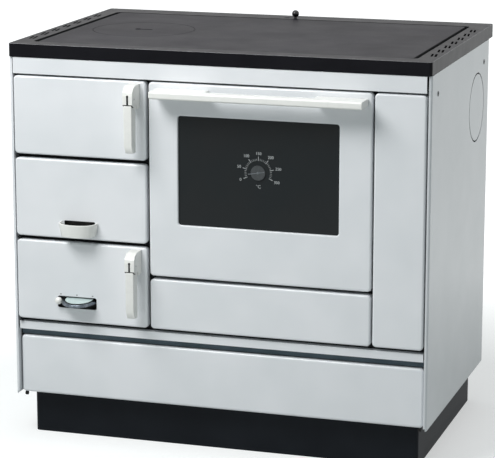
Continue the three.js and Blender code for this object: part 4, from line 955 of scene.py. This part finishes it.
def air_dial():
    """The tilted air dial: pale disc with painted shade, painted shade in its groove, and plated skirt, with
    its ball.
    """
    place = dial_place()
    ball = span("air_dial_ball")
    ball_place = tuple(middle(ends) for ends in ball)
    radius = (ball[0][1] - ball[0][0]) / 2
    stem = [(0, -1.0), (2.35, -1.0), (2.35, -6.5), (5, -6.5), (5, -2.5)]
    skirt = [
        (31, -2.5), (35.6, -5), (37, -5), (37.5, -4.5), (37.3, -3.7), (36.2, -0.9), (35.6, -0.3), (34.8, 0),
        (33, 0.4), (32.3, 0.35),
    ]
    groove = [(32.3, -1.0), (29.8, -1.0)]
    crown = [(29.8, 1.4), (29.5, 1.85), (28.8, 2.0), (12, 2.25), (0, 2.3)]
    disc = set_down(turned("air_dial_disc", stem + skirt + groove + crown, FINE_ROUND), place, DIAL_TILT)
    # The disc's grey-green holds painted shade.
    disc = shade(take_away(disc, sphere("hollow", ball_place, radius + SEAT)), DIAL_WITH_PAINTED_SHADE, False)
    groove_starts, skirt_starts, groove_shade_below = 29.7, 32.4, 5.2

    def out(point):
        spot = DIAL_TILT.inverted() @ (point - Vector(place))
        return math.hypot(spot.x, spot.y)

    paint(disc, SKIRT, lambda point, way: out(point) > skirt_starts)
    # Painted shade: the groove is black below a height over the dial's centre.
    paint(disc, KNOB_BLACK_AND_GAP_SHADE, lambda point, way: (
        groove_starts < out(point) <= skirt_starts and point.z - place[2] < groove_shade_below
    ))
    hand_over(disc, "air_dial", "ivory_plastic", "air_dial")
    knob = sphere("air_dial_knob", ball_place, radius)
    hand_over(shade(knob, IVORY, False), "air_dial", "ivory_plastic", "air_dial_ball")


# Oven door and its thermometer; the scale's angles are in degrees

INK = 0.03
SCALE_FIRST = 203.0
SCALE_STEP = 38.0
SCALE_LABELS = ("0", "50", "100", "150", "200", "250", "300")


def number(name, words, size, place):
    """Flat printed figures that face the front, centred on a place."""
    curve = bpy.data.curves.new(name, "FONT")
    curve.body = words
    curve.size = size * MM
    curve.align_x = curve.align_y = "CENTER"
    curve.extrude = INK * MM
    source = put(name, curve)
    mesh = evaluated(source)
    bpy.data.objects.remove(source)
    return mend(set_down(put(name, mesh), place, ALONG_Y_FRONT))


def oven_front():
    """The oven door's pressed front: folded in round its window, notched for the hinges."""
    _, y, z = span("oven_door_panel")
    glass_x, glass_y, glass_z = span("oven_door_glass")
    edge_fold, lap, corner = 3.0, 6, 6
    opening = (inset(glass_x, lap), inset(glass_z, lap))
    window_x, window_z = (inset(ends, -edge_fold) for ends in opening)
    window = block("window", window_x, window_z, through("oven_door_panel"), corner + edge_fold)
    pan = take_away(pressed_pan("oven_door_front", "oven_door_panel"), window)
    hinge_room, notch_top, beyond = 2.75, 5.5, 3
    notch_z, notch_y = (z[0] - beyond, z[0] + notch_top), (y[0] + PAN_SHEET, y[1] + beyond)
    for side in ("left", "right"):
        notch_x = around(middle(span(f"oven_hinge_{side}")[0]), hinge_room)
        pan = take_away(pan, block("notch", notch_x, notch_z, notch_y, 0.1))
    section = [(-short, y[0] + by) for by, short in fold(edge_fold)]
    section += [(0, glass_y[0] - SEAT), (-PAN_SHEET, glass_y[0] - SEAT), (-PAN_SHEET, y[0] + edge_fold)]
    section += [(-edge_fold, y[0] + PAN_SHEET)]
    rings = [
        [(a, depth, b) for a, b in rounded(inset(opening[0], by), inset(opening[1], by), corner - by)]
        for by, depth in section
    ]
    pan = join("oven_door_front", [pan, skin("window edge", rings, closed=True)])
    hand_over(shade(pan, WHITE), "oven_door", "white_enamel", "oven_door_panel")


def scale(centre_x, centre_z, print_y):
    """The thermometer's printed marks and figures."""
    tree, known = mark_ring_tree()
    for name, count, step, sizes in (
        ("thermometer_fine_marks", 31, SCALE_STEP / 5, (27.2, 4.2, 0.55, 0.06)),
        ("thermometer_main_marks", 7, SCALE_STEP, (29.4, 8.8, 1.0, 0.08)),
    ):
        values = {"Count": count, "First": math.radians(SCALE_FIRST), "Step": math.radians(-step)}
        for label, size in zip(("Radius", "Length", "Width", "Sheet"), sizes):
            values[label] = size * MM
        marks = set_down(grow(name, tree, known, values), (centre_x, print_y, centre_z))
        hand_over(shade(marks, SCALE_INK, False), "oven_door", "zinc_steel")
    # The figures' middles stand a little further out where the words lie along the radius.
    figure_reach, half_letter, figure_size = 39.5, 2.8, 8.4
    figures = []
    for i, words in enumerate(SCALE_LABELS):
        turn = math.radians(SCALE_FIRST - SCALE_STEP * i)
        reach = figure_reach + half_letter * abs(math.cos(turn)) * len(words) / 2
        spot = (centre_x + reach * math.cos(turn), print_y, centre_z + reach * math.sin(turn))
        figures.append(number("figure", words, figure_size, spot))
    unit_size, unit_below = 9.5, 29
    figures.append(number("unit", "°C", unit_size, (centre_x + 0.5, print_y, centre_z - unit_below)))
    hand_over(shade(join("thermometer_figures", figures), SCALE_INK, False), "oven_door", "zinc_steel")


def oven_door():
    """The oven door's front, panes and liner, with the thermometer's scale and needle."""
    oven_front()
    glass_x, glass_y, glass_z = span("oven_door_glass")
    gauge_x, _, gauge_z = span("thermometer_body")
    centre_x, centre_z = middle(gauge_x), middle(gauge_z)
    pane_corner, pane_edge, print_stand = 6, 0.4, 0.04
    pane = block("oven_window", glass_x, glass_z, glass_y, pane_corner)
    bore = round_cutter("bore", 2.9, (-9, 9), (centre_x, middle(glass_y), centre_z), ALONG_Y, 24)
    pane = soften(take_away(pane, bore), pane_edge, 2)
    hand_over(shade(pane, SMOKED), "oven_door", "dark_glass", "oven_door_glass")
    scale(centre_x, centre_z, glass_y[0] - print_stand)

    needle = rounded_copy("needle_and_cap", "thermometer_needle", 0.3, 2)
    hand_over(shade(needle, NEEDLE), "thermometer_needle", "black_plastic", "thermometer_needle")
    hub = (centre_x, span("thermometer_needle")[1][0], centre_z)
    stroke = block("stroke", (-14, 21), (-0.8, 0.8), (-0.35, -0.02), 0.7)
    stroke = set_down(stroke, hub, Matrix.Rotation(math.radians(-190), 3, "Y"))
    boss_profile = [(0, 0.02), (2.6, 0.02), (2.6, 0.5), (2.2, 0.8), (0, 0.8)]
    boss = set_down(turned("boss", boss_profile, 32), hub, ALONG_Y_FRONT)
    line = join("pointer_line", [stroke, boss])
    hand_over(shade(line, POINTER, False), "thermometer_needle", "black_plastic")

    inner_x, inner_y, inner_z = span("oven_door_inner_glass")
    inner = soften(block("inner_window", inner_x, inner_z, inner_y, pane_corner), pane_edge, 2)
    hand_over(shade(inner, CLEAR), "oven_door", "clear_glass", "oven_door_inner_glass")
    back = rounded_copy("oven_door_back", "oven_door_liner", 0.7, 2)
    hand_over(shade(back, OVEN_ENAMEL), "oven_door", "black_enamel", "oven_door_liner")


def ropes():
    """The rope seals, pressed to a flat oval and laid round their openings."""
    half_width, corner, tightest = 4.5, 12, 3
    for door in ("fire_door", "oven_door"):
        x, y, z = span(f"{door}_seal")
        half_depth = (y[1] - y[0]) / 2
        rings = []
        for c, s in circle(12):
            by = half_width * (1 - c)
            loop = rounded(inset(x, by), inset(z, by), max(corner - by, tightest))
            rings.append([(a, middle(y) + half_depth * s, b) for a, b in loop])
        rope = skin(f"{door}_rope", rings, closed=True)
        hand_over(shade(rope, ROPE, False), door, "seal_rope", f"{door}_seal")


def rack():
    """The oven's wire shelf: a round wire frame with bars across it."""
    x, y, z = span("oven_rack")
    wire, bar_radius, bars, corner = 3.0, 2.0, 13, 12
    level = middle(z)
    loop = [(a, b, level) for a, b in rounded(inset(x, wire), inset(y, wire), corner)]
    path = mesh_of("path", loop, [], [(i, (i + 1) % len(loop)) for i in range(len(loop))])
    rim = grow("rim", *loop_tree(), {"Radius": (wire - 0.01) * MM, "Sides": 20}, path)
    pitch = (x[1] - x[0] - 2 * wire) / (bars + 1)
    length = y[1] - y[0] - 2 * wire
    sizes = {"Count": bars, "Pitch": pitch * MM, "Radius": bar_radius * MM, "Length": length * MM}
    row = set_down(grow("row", *bar_row_tree(), sizes), (x[0] + wire + pitch, middle(y), level))
    shelf = join("oven_wire_shelf", [rim, row])
    hand_over(shade(shelf, ZINC, False), "root", "zinc_steel", "oven_rack")


def inside():
    """Inner pieces that show through an open door or drawer, or from behind; their edge radius comes last."""
    clay, cast, rubber = ("fireclay", FIRECLAY), ("cast_iron", RAW_IRON), ("rubber", RUBBER)
    black, zinc = ("black_steel", STOVE_BLACK_AND_PAINTED_SHADE), ("zinc_steel", ZINC)
    sides = ("left", "right")
    for name, node, body, (slot, material), radius in (
        *((f"firebrick_{side}_slab", f"firebrick_{side}", "root", clay, 1.5) for side in (*sides, "back")),
        ("grate_casting", "fire_grate", "root", cast, 1.0),
        *((f"{door}_back", f"{door}_liner", door, cast, 0.7) for door in ("fire_door", "grate_door")),
        ("ash_door_back", "ash_door_liner", "ash_door", cast, 0.3),
        ("oven_muffle", "oven_box", "root", ("black_enamel", OVEN_ENAMEL), 0.6),
        ("front_plate", "front_frame", "root", black, 0.4),
        ("firebox_shell", "firebox_casing", "root", black, 0.4),
        ("ash_tray", "ash_pan", "root", zinc, 0.4),
        ("drawer_tray", "fuel_drawer_box", "fuel_drawer", zinc, 0.4),
        ("rear_sheet", "back_panel", "root", black, 0.3),
        ("base_sheet", "base_plate", "root", black, 0.4),
        ("flue_duct", "flue_box", "root", black, 0.3),
        ("hinge_post_left", "door_hinge_post", "root", black, 0.3),
        *((f"oven_hinge_arm_{side}", f"oven_hinge_{side}", "root", zinc, 0.3) for side in sides),
        *((f"buffer_{side}", f"drawer_buffer_{side}", "fuel_drawer", rubber, 0.8) for side in sides),
        ("thermometer_case", "thermometer_body", "oven_door", black, 0.3),
        ("damper_channel", "damper_guide", "root", black, 0.3),
        ("damper_plate", "damper_slide", "damper", zinc, 0.3),
    ):
        hand_over(shade(rounded_copy(name, node, radius, 2), material), body, slot, node)


def vent_shade_sheets():
    """Black sheets beside the damper, in the gap between the back panel and the hob frame: dark sheets put in
    as painted shade, so the vents show dark.
    """
    x, y, z = span("back_panel")
    frame_foot = span("hob_frame")[2][0]
    overlap, flange, clear = 14, 13, 60
    for name, ends in (("left", (x[0] + flange, -clear)), ("right", (clear, x[1] - flange))):
        sheet = block(f"vent_shade_sheet_{name}", ends, (z[1] + 0.1, frame_foot + overlap), y, 0.4)
        hand_over(shade(sheet, STOVE_BLACK_AND_PAINTED_SHADE), "root", "black_steel")


def collar():
    """The flue collar: a rolled spigot with a flange and a beaded mouth, cut off beside the side panel."""
    x, y, z = span("flue_collar")
    flange_width, sheet, centre_x = 5, 1.5, 374
    outer = (z[1] - z[0]) / 2 - flange_width
    flange_front = span("back_panel")[1][1] + SEAT
    profile = [
        (outer - sheet, y[0]), (outer, y[0]), (outer, flange_front), (outer + flange_width, flange_front),
        (outer + flange_width, flange_front + sheet), (outer, flange_front + sheet), (outer, y[1] - 0.6),
        (outer - 0.5, y[1]), (outer - 1.2, y[1]), (outer - sheet, y[1] - 0.5),
    ]
    rings = [[(r * c, r * s, h) for r, h in profile] for c, s in circle(FINE_ROUND)]
    spigot = set_down(skin("flue_spigot", rings, closed=True), (centre_x, 0, middle(z)), ALONG_Y)
    spigot = take_away(spigot, block("beside", (x[1], x[1] + 30), z, inset(y, -5), 1))
    hand_over(shade(spigot, STOVE_BLACK_AND_PAINTED_SHADE), "root", "black_steel", "flue_collar")


hob()
damper()
casing()
doors()
air_dial()
oven_door()
lever("fire_door")
lever("ash_door")
pulls()
ropes()
rack()
inside()
vent_shade_sheets()
collar()
